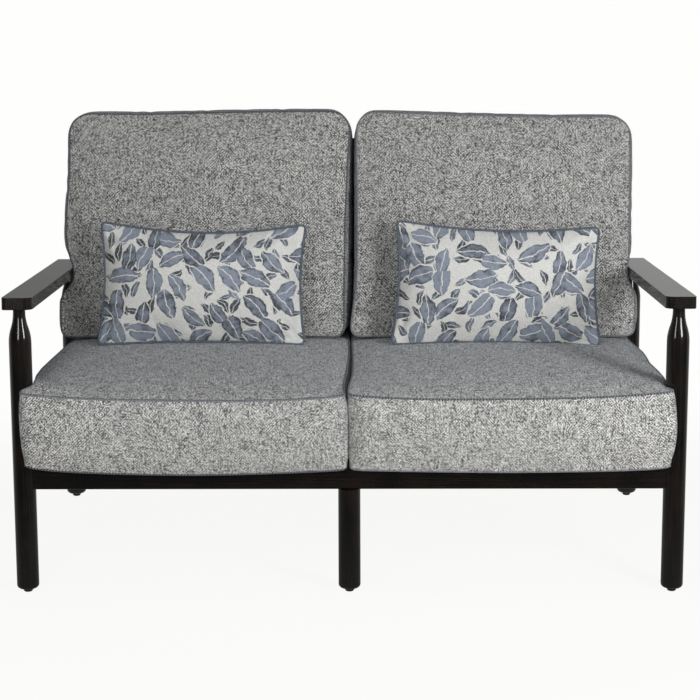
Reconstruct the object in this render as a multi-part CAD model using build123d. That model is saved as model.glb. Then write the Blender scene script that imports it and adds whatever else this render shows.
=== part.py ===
from build123d import *
import math
import os

# A patio loveseat: six round legs, two flat sloping arms, a slatted deck and a
# leaning back frame, with two seat cushions, two back cushions and two small
# lumbar pillows. X runs across, the seat faces -Y, Z is up from the floor.

# Legs of round tube, rounded at the foot and drawn in to a neck under the arm
leg_spacing_across = 1344
leg_spacing_deep = 700
leg_diameter = 46
leg_wall = 2
leg_foot_round = 8
leg_end_wall = 4
neck_diameter = 25
neck_length = 8
flare_length = 64
weld_gap = 0.2

# Nylon glides pushed into the ends of the legs
glide_diameter = 19
glide_height = 8
glide_flat_diameter = 12
glide_stem_diameter = 10
glide_stem_length = 16
push_fit_gap = 0.1

# Arms: flat hollow planks that slope down to the rear
arm_top_height = 629
arm_width = 62
arm_thickness = 25
arm_front_overhang = 30
arm_rear_overhang = 20
arm_slope_degrees = 3.5
arm_wall = 4
arm_nose_length = 62
arm_inner_round = 18
arm_outer_round = 9
arm_rear_round = 3
arm_edge_round = 1.5
arm_plug_length = 50

# Seat frame of rectangular tube
rail_height = 50
rail_thickness = 26
rail_wall = 2
rail_bottom = 223
tube_edge_round = 2.5
seat_slat_width = 38
seat_slat_thickness = 16
seat_slat_wall = 1.5
seat_slat_count = 4

# Back frame of rectangular tube, leaning back from the rear rails
back_lean_degrees = 12
back_height = 610
back_tube_depth = 26
back_stile_width = 30
back_top_rail_height = 30
back_lower_rail_height = 26
back_lower_rail_rise = 110
back_wall = 2
back_slat_width = 40
back_slat_thickness = 6
back_slat_count = 2

# Fasteners and plugs
stud_diameter = 8
stud_depth_in_leg = 36
stud_depth_in_arm = 17
arm_bolt_diameter = 6
arm_bolt_reach = 14
arm_bolt_end_distance = 11
foot_bolt_diameter = 6
foot_bolt_reach = 20
bolt_head_diameter = 13
bolt_head_height = 4
stile_plug_length = 34
cap_flange = 3
cap_depth = 14

# Cushions, each a sewn cover over a foam core
cover_thickness = 2
core_gap = 0.4
rest_gap = 0.5
side_gap = 0.8
centre_gap = 6
seat_overhang = 60
seat_boxing = 150
seat_crown = 16
seat_corner_round = 30
cushion_bulge = 8
seam_draw_in = 3
edge_crown = 2
back_cushion_thickness = 165
back_cushion_height = 535
back_crown = 38
back_top_round = 45
back_bottom_round = 30
zip_width = 10
zip_length_share = 0.7

# Lumbar pillows: two crowned faces sewn edge to edge
pillow_width = 458
pillow_height = 275
pillow_thickness = 120
pillow_edge_thickness = 8
pillow_draw_in = 14
pillow_corner_round = 14
pillow_gap = 1.5
pillow_side_shift = 12

# Left over past a face by a cutting tool
overrun = 5

# Worked out from the sizes above
slope = math.radians(arm_slope_degrees)
lean = math.radians(back_lean_degrees)
leg_radius = leg_diameter / 2
leg_x = leg_spacing_across / 2
rail_top = rail_bottom + rail_height
arm_inner_x = leg_x - arm_width / 2
arm_length = arm_front_overhang + leg_spacing_deep + arm_rear_overhang

# The back frame hangs on one bolt in each arm, so its foot follows from the lean:
# the bolt's place behind the front legs, then down the stile to the rear rail
arm_bolt_along = arm_length - arm_bolt_end_distance
arm_bolt_run = (
    arm_bolt_along * math.cos(slope)
    - arm_thickness / 2 * math.sin(slope)
    - arm_front_overhang
)
arm_bolt_height = (
    arm_top_height
    - arm_bolt_along * math.sin(slope)
    - arm_thickness / 2 * math.cos(slope)
)
stile_centre_drop = back_tube_depth / 2 * math.sin(lean)
stile_up_to_bolt = (arm_bolt_height - rail_top + stile_centre_drop) / math.cos(lean)
back_foot_run = (
    arm_bolt_run
    - back_tube_depth / 2 * math.cos(lean)
    - stile_up_to_bolt * math.sin(lean)
)
back_reach = back_height * math.sin(lean) + back_tube_depth * math.cos(lean)
overall_depth = seat_overhang + back_foot_run + back_reach
front_leg_y = seat_overhang - overall_depth / 2
rear_leg_y = front_leg_y + leg_spacing_deep
back_foot_y = front_leg_y + back_foot_run
arm_front_y = front_leg_y - arm_front_overhang
arm_bolt_y = front_leg_y + arm_bolt_run
side_rail_inner_x = leg_x - rail_thickness / 2
front_rail_rear_y = front_leg_y + rail_thickness / 2

# The leaning frame's own plane: x across, y up along the lean, z out to the front
back_plane = Plane(
    origin=(0, back_foot_y, rail_top),
    x_dir=(1, 0, 0),
    z_dir=(0, -math.cos(lean), math.sin(lean)),
)

parts = {}


def mirrored(shape):
    return mirror(shape, about=Plane.YZ)


def add_pair(name, right_shape, suffix=""):
    parts[f"{name}_right{suffix}"] = right_shape
    parts[f"{name}_left{suffix}"] = mirrored(right_shape)


def block(x_range, y_range, z_range):
    size = [high - low for low, high in (x_range, y_range, z_range)]
    corner = [low for low, high in (x_range, y_range, z_range)]
    return Pos(*corner) * Box(*size, align=(Align.MIN, Align.MIN, Align.MIN))


def grown(low_high, amount):
    return (low_high[0] - amount, low_high[1] + amount)


def rounded_bar(x_range, y_range, z_range, along):
    # Block with its long edges, those along the named axis, rounded
    axis = {"x": Axis.X, "y": Axis.Y}[along]
    bar = block(x_range, y_range, z_range)
    return fillet(bar.edges().filter_by(axis), tube_edge_round)


def tube(x_range, y_range, z_range, wall, along):
    # Rectangular tube, open at both ends, running along the named axis
    ranges = {"x": x_range, "y": y_range, "z": z_range}
    bore = {
        axis: grown(low_high, overrun if axis == along else -wall)
        for axis, low_high in ranges.items()
    }
    outer = rounded_bar(x_range, y_range, z_range, along)
    return outer - block(bore["x"], bore["y"], bore["z"])


def rod(diameter, start, end):
    # Round bar between two points
    path = Line(start, end)
    return extrude(Plane(origin=start, z_dir=path % 0) * Circle(diameter / 2), path.length)


def arm_top_at(y):
    return arm_top_height - (y - arm_front_y) * math.tan(slope)


def arm_underside_at(y):
    return arm_top_at(y) - arm_thickness / math.cos(slope)


def leg(x, y, top, shoulder=None):
    # Round tube with a rounded foot, and above any shoulder a flare in to the neck
    hole = glide_stem_diameter / 2 + push_fit_gap
    foot = glide_height
    bore = leg_radius - leg_wall
    floor = foot + leg_end_wall
    side_start = (leg_radius, foot + leg_foot_round)
    outer = [
        Line((hole, foot), (leg_radius - leg_foot_round, foot)),
        CenterArc((leg_radius - leg_foot_round, foot + leg_foot_round), leg_foot_round, -90, 90),
    ]
    if shoulder is None:
        ceiling = top - leg_end_wall
        outer.append(Polyline(side_start, (leg_radius, top), (0, top)))
    else:
        ceiling = shoulder
        neck = neck_diameter / 2
        flare_top = shoulder + flare_length
        middle = ((leg_radius + neck) / 2, shoulder + flare_length / 2)
        outer += [
            Line(side_start, (leg_radius, shoulder)),
            TangentArc((leg_radius, shoulder), middle, tangent=(0, 1)),
            TangentArc((neck, flare_top), middle, tangent=(0, -1)),
            Polyline((neck, flare_top), (neck, top), (0, top)),
        ]
    inner = Polyline(
        (0, top),
        (0, ceiling),
        (bore, ceiling),
        (bore, floor + leg_foot_round),
        (bore - leg_foot_round, floor),
        (hole, floor),
        (hole, foot),
    )
    return Pos(x, y, 0) * revolve(Plane.XZ * make_face(outer + [inner]), Axis.Z)


def glide(x, y):
    # Flat-bottomed dome with a stem that fills the hole in the leg's end
    flat = glide_flat_diameter / 2
    rim = glide_diameter / 2
    stem = glide_stem_diameter / 2
    side_foot = rim - flat
    stem_top = glide_height + glide_stem_length
    profile = make_face([
        Line((0, 0), (flat, 0)),
        CenterArc((flat, side_foot), side_foot, -90, 90),
        Polyline(
            (rim, side_foot),
            (rim, glide_height),
            (stem, glide_height),
            (stem, stem_top),
            (0, stem_top),
            (0, 0),
        ),
    ])
    return Pos(x, y, 0) * revolve(Plane.XZ * profile, Axis.Z)


def on_arm(shape):
    # From the arm's own frame, at its front edge on the top face, to its place
    return Pos(leg_x, arm_front_y, arm_top_height) * Rot(-arm_slope_degrees, 0, 0) * shape


def arm_plank():
    # The right arm's outer form, as a solid plank
    plan = Rectangle(arm_width, arm_length, align=(Align.CENTER, Align.MIN))
    plan = fillet(plan.vertices().sort_by_distance((-arm_width / 2, 0))[0], arm_inner_round)
    plan = fillet(plan.vertices().sort_by_distance((arm_width / 2, 0))[0], arm_outer_round)
    plan = fillet(plan.vertices().sort_by(Axis.Y)[-2:], arm_rear_round)
    plank = extrude(plan, -arm_thickness)
    for face in (plank.faces().sort_by(Axis.Z)[-1], plank.faces().sort_by(Axis.Z)[0]):
        plank = fillet(face.edges(), arm_edge_round)
    return on_arm(plank)


def arm_hollow(start, end, gap=0):
    # The bore of the right arm between two distances from its front edge
    half = arm_width / 2 - arm_wall - gap
    heights = (arm_wall + gap - arm_thickness, -arm_wall - gap)
    return on_arm(block((-half, half), (start, end), heights))


def arm_stud(y, gap=0):
    seat = arm_underside_at(y)
    return rod(
        stud_diameter + 2 * gap,
        (leg_x, y, seat - stud_depth_in_leg - gap),
        (leg_x, y, seat + stud_depth_in_arm + gap),
    )


def arm_bolt(gap=0):
    head = arm_inner_x - back_stile_width
    tip = arm_inner_x + arm_wall + arm_bolt_reach + gap
    return rod(
        arm_bolt_diameter + 2 * gap,
        (head, arm_bolt_y, arm_bolt_height),
        (tip, arm_bolt_y, arm_bolt_height),
    )


def arm_bolt_head():
    seat = arm_inner_x - back_stile_width
    return rod(
        bolt_head_diameter,
        (seat - bolt_head_height, arm_bolt_y, arm_bolt_height),
        (seat, arm_bolt_y, arm_bolt_height),
    )


def foot_bolt(x, gap=0):
    y = back_foot_y + back_tube_depth / 2 / math.cos(lean)
    return rod(
        foot_bolt_diameter + 2 * gap,
        (x, y, rail_bottom),
        (x, y, rail_top + foot_bolt_reach + gap),
    )


def foot_bolt_head(x):
    y = back_foot_y + back_tube_depth / 2 / math.cos(lean)
    return rod(bolt_head_diameter, (x, y, rail_bottom - bolt_head_height), (x, y, rail_bottom))


def below(height):
    # Everything under one height, for cutting a leaning piece level
    room = leg_spacing_across + leg_spacing_deep
    return block((-room, room), (-room, room), (-room, height))


def stile(x_range):
    tube_on_plane = tube(
        x_range,
        (-overrun, back_height - back_top_rail_height),
        (-back_tube_depth, 0),
        back_wall,
        "y",
    )
    return back_plane * tube_on_plane - below(rail_top)


def stile_plug(x_range):
    inside = -back_wall - push_fit_gap
    solid = block(
        grown(x_range, inside),
        (-overrun, stile_plug_length),
        grown((-back_tube_depth, 0), inside),
    )
    return back_plane * solid - below(rail_top)


def rail_cap(x_range, y_range, z_range, wall):
    # Cap for a tube along x that ends at the end of x_range: a plug and a flange
    end = x_range[1]
    plug = block(
        (end - cap_depth, end),
        grown(y_range, -wall - push_fit_gap),
        grown(z_range, -wall - push_fit_gap),
    )
    return plug + rounded_bar((end, end + cap_flange), y_range, z_range, "x")


def bowed_outline(half_width, y_range, bow, rounds):
    # Four slightly bowed sides with rounded corners, the near pair first in rounds
    low, high = y_range
    middle = (low + high) / 2
    outline = make_face([
        ThreePointArc((-half_width, low), (0, low - bow), (half_width, low)),
        ThreePointArc((half_width, low), (half_width + bow, middle), (half_width, high)),
        ThreePointArc((half_width, high), (0, high + bow), (-half_width, high)),
        ThreePointArc((-half_width, high), (-half_width - bow, middle), (-half_width, low)),
    ])
    outline = fillet(outline.vertices().sort_by(Axis.Y)[:2], rounds[0])
    return fillet(outline.vertices().sort_by(Axis.Y)[-2:], rounds[1])


def crown_profile(y_range, base, boxing, rise):
    low, high = y_range
    return make_face([
        Polyline((low, boxing), (low, base), (high, base), (high, boxing)),
        ThreePointArc((high, boxing), ((low + high) / 2, boxing + rise), (low, boxing)),
    ])


def crown_span(y_range):
    # The stretch that the crown's arc runs over, just past the bulging sides
    return grown(y_range, cushion_bulge + overrun)


def cushion_form(half_width, y_range, boxing, crown, rounds, inset):
    # A boxed cushion: bulging sides, seams drawn in, and a crowned face on top
    half_width = half_width - inset
    y_range = grown(y_range, -inset)
    rounds = [size - inset for size in rounds]
    top = boxing + crown + overrun
    sections = [(inset, -seam_draw_in), (boxing / 2, cushion_bulge), (top, -seam_draw_in)]
    sides = loft([
        Pos(0, 0, height) * bowed_outline(half_width, y_range, bow, rounds)
        for height, bow in sections
    ])
    reach = half_width + cushion_bulge + overrun
    span = crown_span(y_range)
    crowned = loft([
        Plane.YZ.offset(x) * crown_profile(span, inset - overrun, boxing - inset, rise)
        for x, rise in ((-reach, edge_crown), (0, crown), (reach, edge_crown))
    ])
    return sides & crowned


def seat_side():
    # Centre and half width of a seat cushion, between the middle and the front leg
    outer = leg_x - leg_radius - side_gap
    return (outer + centre_gap / 2) / 2, (outer - centre_gap / 2) / 2 - cushion_bulge


def back_side():
    # The same for a back cushion, between the middle and the arm
    outer = arm_inner_x - side_gap
    return (outer + centre_gap / 2) / 2, (outer - centre_gap / 2) / 2 - cushion_bulge


seat_base = rail_top + rest_gap
seat_y_range = (
    front_leg_y - seat_overhang + cushion_bulge,
    back_foot_y - rest_gap,
)


def seat_form(inset):
    centre, half_width = seat_side()
    rounds = (seat_corner_round, seat_corner_round)
    form = cushion_form(half_width, seat_y_range, seat_boxing, seat_crown, rounds, inset)
    return Pos(centre, 0, seat_base) * form


def height_on_seat(out):
    # How far up the leaning plane a line, so far out from it, meets the crowned seat
    low, high = crown_span(seat_y_range)
    half = (high - low) / 2
    radius = (half ** 2 + seat_crown ** 2) / (2 * seat_crown)
    centre_y = (low + high) / 2
    centre_z = seat_base + seat_boxing + seat_crown - radius
    from_y = back_foot_y - out * math.cos(lean) - centre_y
    from_z = rail_top + out * math.sin(lean) - centre_z
    along = from_y * math.sin(lean) + from_z * math.cos(lean)
    distance = from_y ** 2 + from_z ** 2
    return math.sqrt(along ** 2 - distance + (radius + rest_gap) ** 2) - along


back_front = back_cushion_thickness + cushion_bulge
back_bottom = height_on_seat(back_front)
back_y_range = (
    back_bottom - cushion_bulge,
    back_bottom + back_cushion_height - cushion_bulge,
)
back_cut_height = (
    rail_top + back_bottom * math.cos(lean) + back_front * math.sin(lean)
)


def back_form(inset):
    centre, half_width = back_side()
    rounds = (back_bottom_round, back_top_round)
    form = cushion_form(
        half_width, back_y_range, back_cushion_thickness, back_crown, rounds, inset
    )
    placed = back_plane * Pos(centre, 0, rest_gap) * form
    return placed - below(back_cut_height + inset)


def seat_zip_slot(gap=0):
    centre, half_width = seat_side()
    half_length = half_width * zip_length_share - gap
    rear = seat_y_range[1]
    middle = seat_base + seat_boxing / 2
    return block(
        (centre - half_length, centre + half_length),
        (rear - cushion_bulge, rear + cushion_bulge + overrun),
        grown((middle, middle), zip_width / 2 - gap),
    )


def back_zip_slot(gap=0):
    centre, half_width = back_side()
    half_length = half_width * zip_length_share - gap
    middle = back_foot_y - back_cushion_thickness / 2
    return block(
        (centre - half_length, centre + half_length),
        grown((middle, middle), zip_width / 2 - gap),
        (back_cut_height - overrun, back_cut_height + cover_thickness + overrun),
    )


def add_cushion(name, form, slot):
    outer = form(0)
    hollow = form(cover_thickness)
    add_pair(f"{name}_cover", outer - hollow - slot())
    add_pair(f"{name}_core", form(cover_thickness + core_gap))
    add_pair(f"{name}_zip", (outer - hollow) & slot(push_fit_gap))


def pillow_form():
    # Two crowned faces inside an outline whose free sides are drawn in
    half = pillow_width / 2
    edge = pillow_edge_thickness / 2
    outline = make_face([
        Line((-half, 0), (half, 0)),
        ThreePointArc(
            (half, 0), (half - pillow_draw_in, pillow_height / 2), (half, pillow_height)
        ),
        ThreePointArc(
            (half, pillow_height), (0, pillow_height - pillow_draw_in), (-half, pillow_height)
        ),
        ThreePointArc(
            (-half, pillow_height), (pillow_draw_in - half, pillow_height / 2), (-half, 0)
        ),
    ])
    outline = fillet(outline.vertices(), pillow_corner_round)
    faces = loft([
        Plane.YZ.offset(x) * make_face([
            Line((0, edge), (0, -edge)),
            ThreePointArc(
                (0, -edge), (pillow_height / 2, -edge - rise), (pillow_height, -edge)
            ),
            Line((pillow_height, -edge), (pillow_height, edge)),
            ThreePointArc(
                (pillow_height, edge), (pillow_height / 2, edge + rise), (0, edge)
            ),
        ])
        for x, rise in (
            (-half - overrun, edge_crown),
            (0, pillow_thickness / 2 - edge),
            (half + overrun, edge_crown),
        )
    ])
    return faces & extrude(outline, pillow_thickness, both=True)


def pillow_place():
    # Out from the leaning plane, so that the two crowned faces just clear each other
    edge = pillow_edge_thickness / 2
    crown = pillow_thickness / 2 - edge
    touching = back_cushion_thickness + back_crown + crown + edge + pillow_gap
    low, high = crown_span(back_y_range)
    back_half = (high - low) / 2
    pillow_half = pillow_height / 2
    pillow_middle = height_on_seat(touching) + pillow_half
    apart = (low + high) / 2 - pillow_middle
    back_curve = back_crown / back_half ** 2
    pillow_curve = crown / pillow_half ** 2
    nested = apart ** 2 * back_curve * pillow_curve / (back_curve + pillow_curve)
    out = touching - nested
    return height_on_seat(out - edge), out


# Legs, glides and arms
plank = arm_plank()
for end, y in (("front", front_leg_y), ("rear", rear_leg_y)):
    underside = arm_underside_at(y)
    shoulder = underside - neck_length - flare_length
    post = leg(leg_x, y, underside + arm_thickness / 2, shoulder)
    add_pair(f"{end}_leg", post - plank - arm_stud(y, push_fit_gap))
    parts[f"{end}_leg_middle"] = leg(0, y, rail_bottom)
    add_pair(f"{end}_glide", glide(leg_x, y))
    parts[f"{end}_glide_middle"] = glide(0, y)

rear_plug = arm_hollow(arm_length - arm_plug_length, arm_length, push_fit_gap)
arm_holes = (
    arm_stud(front_leg_y, push_fit_gap)
    + arm_stud(rear_leg_y, push_fit_gap)
    + arm_bolt(push_fit_gap)
)
add_pair("arm", plank - arm_hollow(arm_nose_length, arm_length + overrun) - arm_holes)
add_pair("arm_plug", rear_plug - arm_holes)

studs = [arm_stud(y) for y in (front_leg_y, rear_leg_y)]
parts["arm_studs"] = Compound(studs + [mirrored(stud) for stud in studs])
bolt = arm_bolt() + arm_bolt_head()
parts["arm_bolts"] = Compound([bolt, mirrored(bolt)])

# Seat frame
rail_z_range = (rail_bottom, rail_top)
middle_thickness = (-rail_thickness / 2, rail_thickness / 2)
posts = [
    Pos(side * leg_x, y, 0) * Cylinder(leg_radius + weld_gap, 2 * arm_top_height)
    for side in (-1, 1)
    for y in (front_leg_y, rear_leg_y)
]
front_rail = tube(
    (-leg_x, leg_x),
    grown((front_leg_y, front_leg_y), rail_thickness / 2),
    rail_z_range,
    rail_wall,
    "x",
)
parts["front_rail"] = front_rail - posts
side_rail = tube(
    grown((leg_x, leg_x), rail_thickness / 2),
    (front_leg_y, rear_leg_y),
    rail_z_range,
    rail_wall,
    "y",
)
add_pair("side_rail", side_rail - posts)

centre_y_range = (front_rail_rear_y, rear_leg_y + leg_radius)
centre_rail = tube(middle_thickness, centre_y_range, rail_z_range, rail_wall, "y")
parts["centre_rail"] = centre_rail - foot_bolt(0, push_fit_gap)
centre_cap = rail_cap(centre_y_range, middle_thickness, rail_z_range, rail_wall)
parts["centre_rail_cap"] = Rot(0, 0, 90) * centre_cap

stile_right = (arm_inner_x - back_stile_width, arm_inner_x)
stile_centre = (-back_stile_width / 2, back_stile_width / 2)
foot_x = arm_inner_x - back_stile_width / 2
rear_rail = tube(
    (rail_thickness / 2, side_rail_inner_x),
    (back_foot_y, back_foot_y + rail_thickness),
    rail_z_range,
    rail_wall,
    "x",
)
add_pair("rear_rail", rear_rail - foot_bolt(foot_x, push_fit_gap))

seat_slat_pitch = (side_rail_inner_x - rail_thickness / 2) / seat_slat_count
for number in range(seat_slat_count):
    slat_x = rail_thickness / 2 + (number + 0.5) * seat_slat_pitch
    slat = tube(
        grown((slat_x, slat_x), seat_slat_width / 2),
        (front_rail_rear_y, back_foot_y),
        (rail_top - seat_slat_thickness, rail_top),
        seat_slat_wall,
        "y",
    )
    add_pair("seat_slat", slat, f"_{number + 1}")

# Back frame
tube_depth_range = (-back_tube_depth, 0)
lower_rail_y_range = (back_lower_rail_rise, back_lower_rail_rise + back_lower_rail_height)
top_rail_y_range = (back_height - back_top_rail_height, back_height)
add_pair("back_stile", stile(stile_right) - arm_bolt(push_fit_gap))
parts["back_stile_centre"] = stile(stile_centre)
parts["back_top_rail"] = back_plane * tube(
    (-arm_inner_x, arm_inner_x), top_rail_y_range, tube_depth_range, back_wall, "x"
)
lower_rail = tube(
    (stile_centre[1], stile_right[0]), lower_rail_y_range, tube_depth_range, back_wall, "x"
)
add_pair("back_lower_rail", back_plane * lower_rail)
back_slat_pitch = (stile_right[0] - stile_centre[1]) / back_slat_count
for number in range(back_slat_count):
    slat_x = stile_centre[1] + (number + 0.5) * back_slat_pitch
    slat = rounded_bar(
        grown((slat_x, slat_x), back_slat_width / 2),
        (lower_rail_y_range[1], top_rail_y_range[0]),
        (-back_slat_thickness, 0),
        "y",
    )
    add_pair("back_slat", back_plane * slat, f"_{number + 1}")

plug_side = stile_plug(stile_right) - foot_bolt(foot_x, push_fit_gap)
plug_centre = stile_plug(stile_centre) - foot_bolt(0, push_fit_gap)
parts["stile_plugs"] = Compound([plug_side, mirrored(plug_side), plug_centre])
parts["stile_bolts"] = Compound([
    foot_bolt(x) + foot_bolt_head(x) for x in (-foot_x, 0, foot_x)
])
top_cap = back_plane * rail_cap(
    (-arm_inner_x, arm_inner_x), top_rail_y_range, tube_depth_range, back_wall
)
parts["back_rail_caps"] = Compound([top_cap, mirrored(top_cap)])

# Cushions and pillows
add_cushion("seat_cushion", seat_form, seat_zip_slot)
add_cushion("back_cushion", back_form, back_zip_slot)
pillow_up, pillow_out = pillow_place()
pillow_middle_x = back_side()[0] + pillow_side_shift
pillow = back_plane * Pos(pillow_middle_x, pillow_up, pillow_out) * pillow_form()
add_pair("lumbar_pillow", pillow)

os.makedirs("parts", exist_ok=True)
for name, shape in parts.items():
    export_step(shape, f"parts/{name}.step")
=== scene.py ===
import math

import bpy
import numpy as np
from mathutils import Matrix, Vector


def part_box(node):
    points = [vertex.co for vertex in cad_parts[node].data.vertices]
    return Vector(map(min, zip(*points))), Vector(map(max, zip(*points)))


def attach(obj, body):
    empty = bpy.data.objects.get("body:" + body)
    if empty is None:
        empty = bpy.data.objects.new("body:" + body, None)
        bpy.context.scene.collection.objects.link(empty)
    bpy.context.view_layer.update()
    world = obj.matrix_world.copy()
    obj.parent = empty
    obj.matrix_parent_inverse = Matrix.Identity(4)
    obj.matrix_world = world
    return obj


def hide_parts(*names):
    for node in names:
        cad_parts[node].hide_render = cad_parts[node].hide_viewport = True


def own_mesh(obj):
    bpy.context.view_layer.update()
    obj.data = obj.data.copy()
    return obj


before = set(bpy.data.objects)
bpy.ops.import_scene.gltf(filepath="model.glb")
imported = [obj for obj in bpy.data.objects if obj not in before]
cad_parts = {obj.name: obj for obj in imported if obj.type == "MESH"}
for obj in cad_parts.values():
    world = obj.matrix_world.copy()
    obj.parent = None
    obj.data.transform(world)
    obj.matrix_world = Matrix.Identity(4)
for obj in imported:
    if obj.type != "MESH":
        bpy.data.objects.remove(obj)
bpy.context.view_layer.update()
print("packed frame loaded")

mm = 0.001
across = Vector((1, 0, 0))
leanAngle = math.radians(12)    # the back frame's lean, from which the next two directions follow
upLean = Vector((0, math.sin(leanAngle), math.cos(leanAngle)))
outLean = Vector((0, -math.cos(leanAngle), math.sin(leanAngle)))

# Levels of the frame that the soft pieces are fitted to
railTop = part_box("front_rail")[1].z
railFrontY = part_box("front_rail")[0].y
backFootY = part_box("back_stile_right")[0].y
legLow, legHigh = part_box("front_leg_right")
legX = (legLow.x + legHigh.x) / 2
legY = (legLow.y + legHigh.y) / 2
legRadius = (legHigh.x - legLow.x) / 2
armLow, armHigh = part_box("arm_right")


def linearColour(hexText):
    channels = [int(hexText[i:i + 2], 16) / 255 for i in (1, 3, 5)]
    linear = [c / 12.92 if c <= 0.04045 else ((c + 0.055) / 1.055) ** 2.4 for c in channels]
    return (*linear, 1.0)


def addNode(tree, kind, inputs=None, **settings):
    node = tree.nodes.new("ShaderNode" + kind)
    for key, value in settings.items():
        setattr(node, key, value)
    for socket, value in (inputs or {}).items():
        if isinstance(value, tuple) and isinstance(value[0], bpy.types.Node):
            tree.links.new(value[0].outputs[value[1]], node.inputs[socket])
        else:
            node.inputs[socket].default_value = value
    return node


coolSheen = "#aebbd0"    # the faint blue that fibre ends give a cloth seen at a low angle


def startMaterial(name):
    material = bpy.data.materials.new(name)
    material.use_nodes = True
    material.node_tree.nodes.clear()
    return material, material.node_tree


def closeMaterial(tree, shader):
    addNode(tree, "OutputMaterial", {"Surface": (shader, 0)})


# Espresso powder coat on aluminium: near black, with a faint brown grain drawn along each member
# under a clear topcoat that shows each lamp as a narrow streak, and a very fine orange peel
coatLook = {
    "dark": "#070605",
    "brown": "#1d130d",
    "brownFrom": (0.16, 0.40),
    "roughness": (0.40, 0.52),
    "specular": 0.12,
    "topcoat": 1.0,
    "topcoatRoughness": 0.085,
    "grainWidthMm": 3.0,
    "grainLengthMm": 140.0,
    "cloudsPerMetre": 14.0,
    "peelMm": 1.6,
    "peelDepthMm": 0.3,
}


def powderCoat(name, grainAlong):
    material, tree = startMaterial(name)
    look = coatLook
    place = addNode(tree, "TexCoord")
    stretch = [1 / (look["grainWidthMm"] * mm)] * 3
    stretch[grainAlong] = 1 / (look["grainLengthMm"] * mm)
    grainPlace = addNode(tree, "Mapping", {"Vector": (place, "Object"), "Scale": stretch})
    grain = addNode(tree, "TexNoise", {"Vector": (grainPlace, 0), "Scale": 1.0, "Detail": 4.0})
    cloud = addNode(tree, "TexNoise", {
        "Vector": (place, "Object"), "Scale": look["cloudsPerMetre"], "Detail": 3.0})
    both = addNode(tree, "Math", {0: (grain, 0), 1: (cloud, 0)}, operation="MULTIPLY")
    start, end = look["brownFrom"]
    amount = addNode(tree, "MapRange", {0: (both, 0), 1: start, 2: end, 3: 0.0, 4: 1.0})
    colour = addNode(tree, "Mix", {
        0: (amount, 0), 6: linearColour(look["dark"]), 7: linearColour(look["brown"])},
        data_type="RGBA")
    low, high = look["roughness"]
    rough = addNode(tree, "MapRange", {0: (grain, 0), 1: 0.3, 2: 0.7, 3: low, 4: high})
    peel = addNode(tree, "TexNoise", {
        "Vector": (place, "Object"), "Scale": 1 / (look["peelMm"] * mm)})
    height = addNode(tree, "Math", {0: (grain, 0), 1: 0.5, 2: (peel, 0)}, operation="MULTIPLY_ADD")
    bump = addNode(tree, "Bump", {
        "Height": (height, 0), "Strength": 0.04, "Distance": look["peelDepthMm"] * mm})
    shader = addNode(tree, "BsdfPrincipled", {
        "Base Color": (colour, 2), "Roughness": (rough, 0), "Normal": (bump, 0), "IOR": 1.5,
        "Specular IOR Level": look["specular"], "Coat Weight": look["topcoat"],
        "Coat Roughness": look["topcoatRoughness"], "Coat IOR": 1.5,
    })
    closeMaterial(tree, shader)
    return material


# Extruded aluminium left bare inside the tubes: grey, brushed along the tube
def bareAluminium(name):
    material, tree = startMaterial(name)
    place = addNode(tree, "TexCoord")
    brushing = addNode(tree, "Mapping", {"Vector": (place, "Object"), "Scale": (900, 40, 900)})
    lines = addNode(tree, "TexNoise", {"Vector": (brushing, 0), "Scale": 1.0, "Detail": 3.0})
    colour = addNode(
        tree, "Mix", {0: (lines, 0), 6: linearColour("#8f9295"), 7: linearColour("#c3c5c6")},
        data_type="RGBA")
    rough = addNode(tree, "MapRange", {0: (lines, 0), 3: 0.32, 4: 0.5})
    shader = addNode(tree, "BsdfPrincipled", {
        "Base Color": (colour, 2), "Roughness": (rough, 0), "Metallic": 1.0,
    })
    closeMaterial(tree, shader)
    return material


# Zinc-plated steel fasteners: pale, faintly blue and yellow in patches
def zincSteel(name):
    material, tree = startMaterial(name)
    place = addNode(tree, "TexCoord")
    patches = addNode(
        tree, "TexNoise", {"Vector": (place, "Object"), "Scale": 260.0, "Detail": 4.0})
    colour = addNode(
        tree, "Mix", {0: (patches, 0), 6: linearColour("#a9acb0"), 7: linearColour("#c9c4b4")},
        data_type="RGBA")
    rough = addNode(tree, "MapRange", {0: (patches, 0), 3: 0.22, 4: 0.45})
    shader = addNode(tree, "BsdfPrincipled", {
        "Base Color": (colour, 2), "Roughness": (rough, 0), "Metallic": 1.0,
    })
    closeMaterial(tree, shader)
    return material


# Moulded black nylon: matt, with a fine spark-eroded grain
def mouldedNylon(name):
    material, tree = startMaterial(name)
    place = addNode(tree, "TexCoord")
    grain = addNode(tree, "TexNoise", {"Vector": (place, "Object"), "Scale": 1100.0, "Detail": 2.0})
    colour = addNode(
        tree, "Mix", {0: (grain, 0), 6: linearColour("#121212"), 7: linearColour("#1e1e1f")},
        data_type="RGBA")
    bump = addNode(tree, "Bump", {"Height": (grain, 0), "Strength": 0.25, "Distance": 0.2 * mm})
    shader = addNode(tree, "BsdfPrincipled", {
        "Base Color": (colour, 2), "Roughness": 0.55, "Normal": (bump, 0), "IOR": 1.53,
    })
    closeMaterial(tree, shader)
    return material


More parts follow.
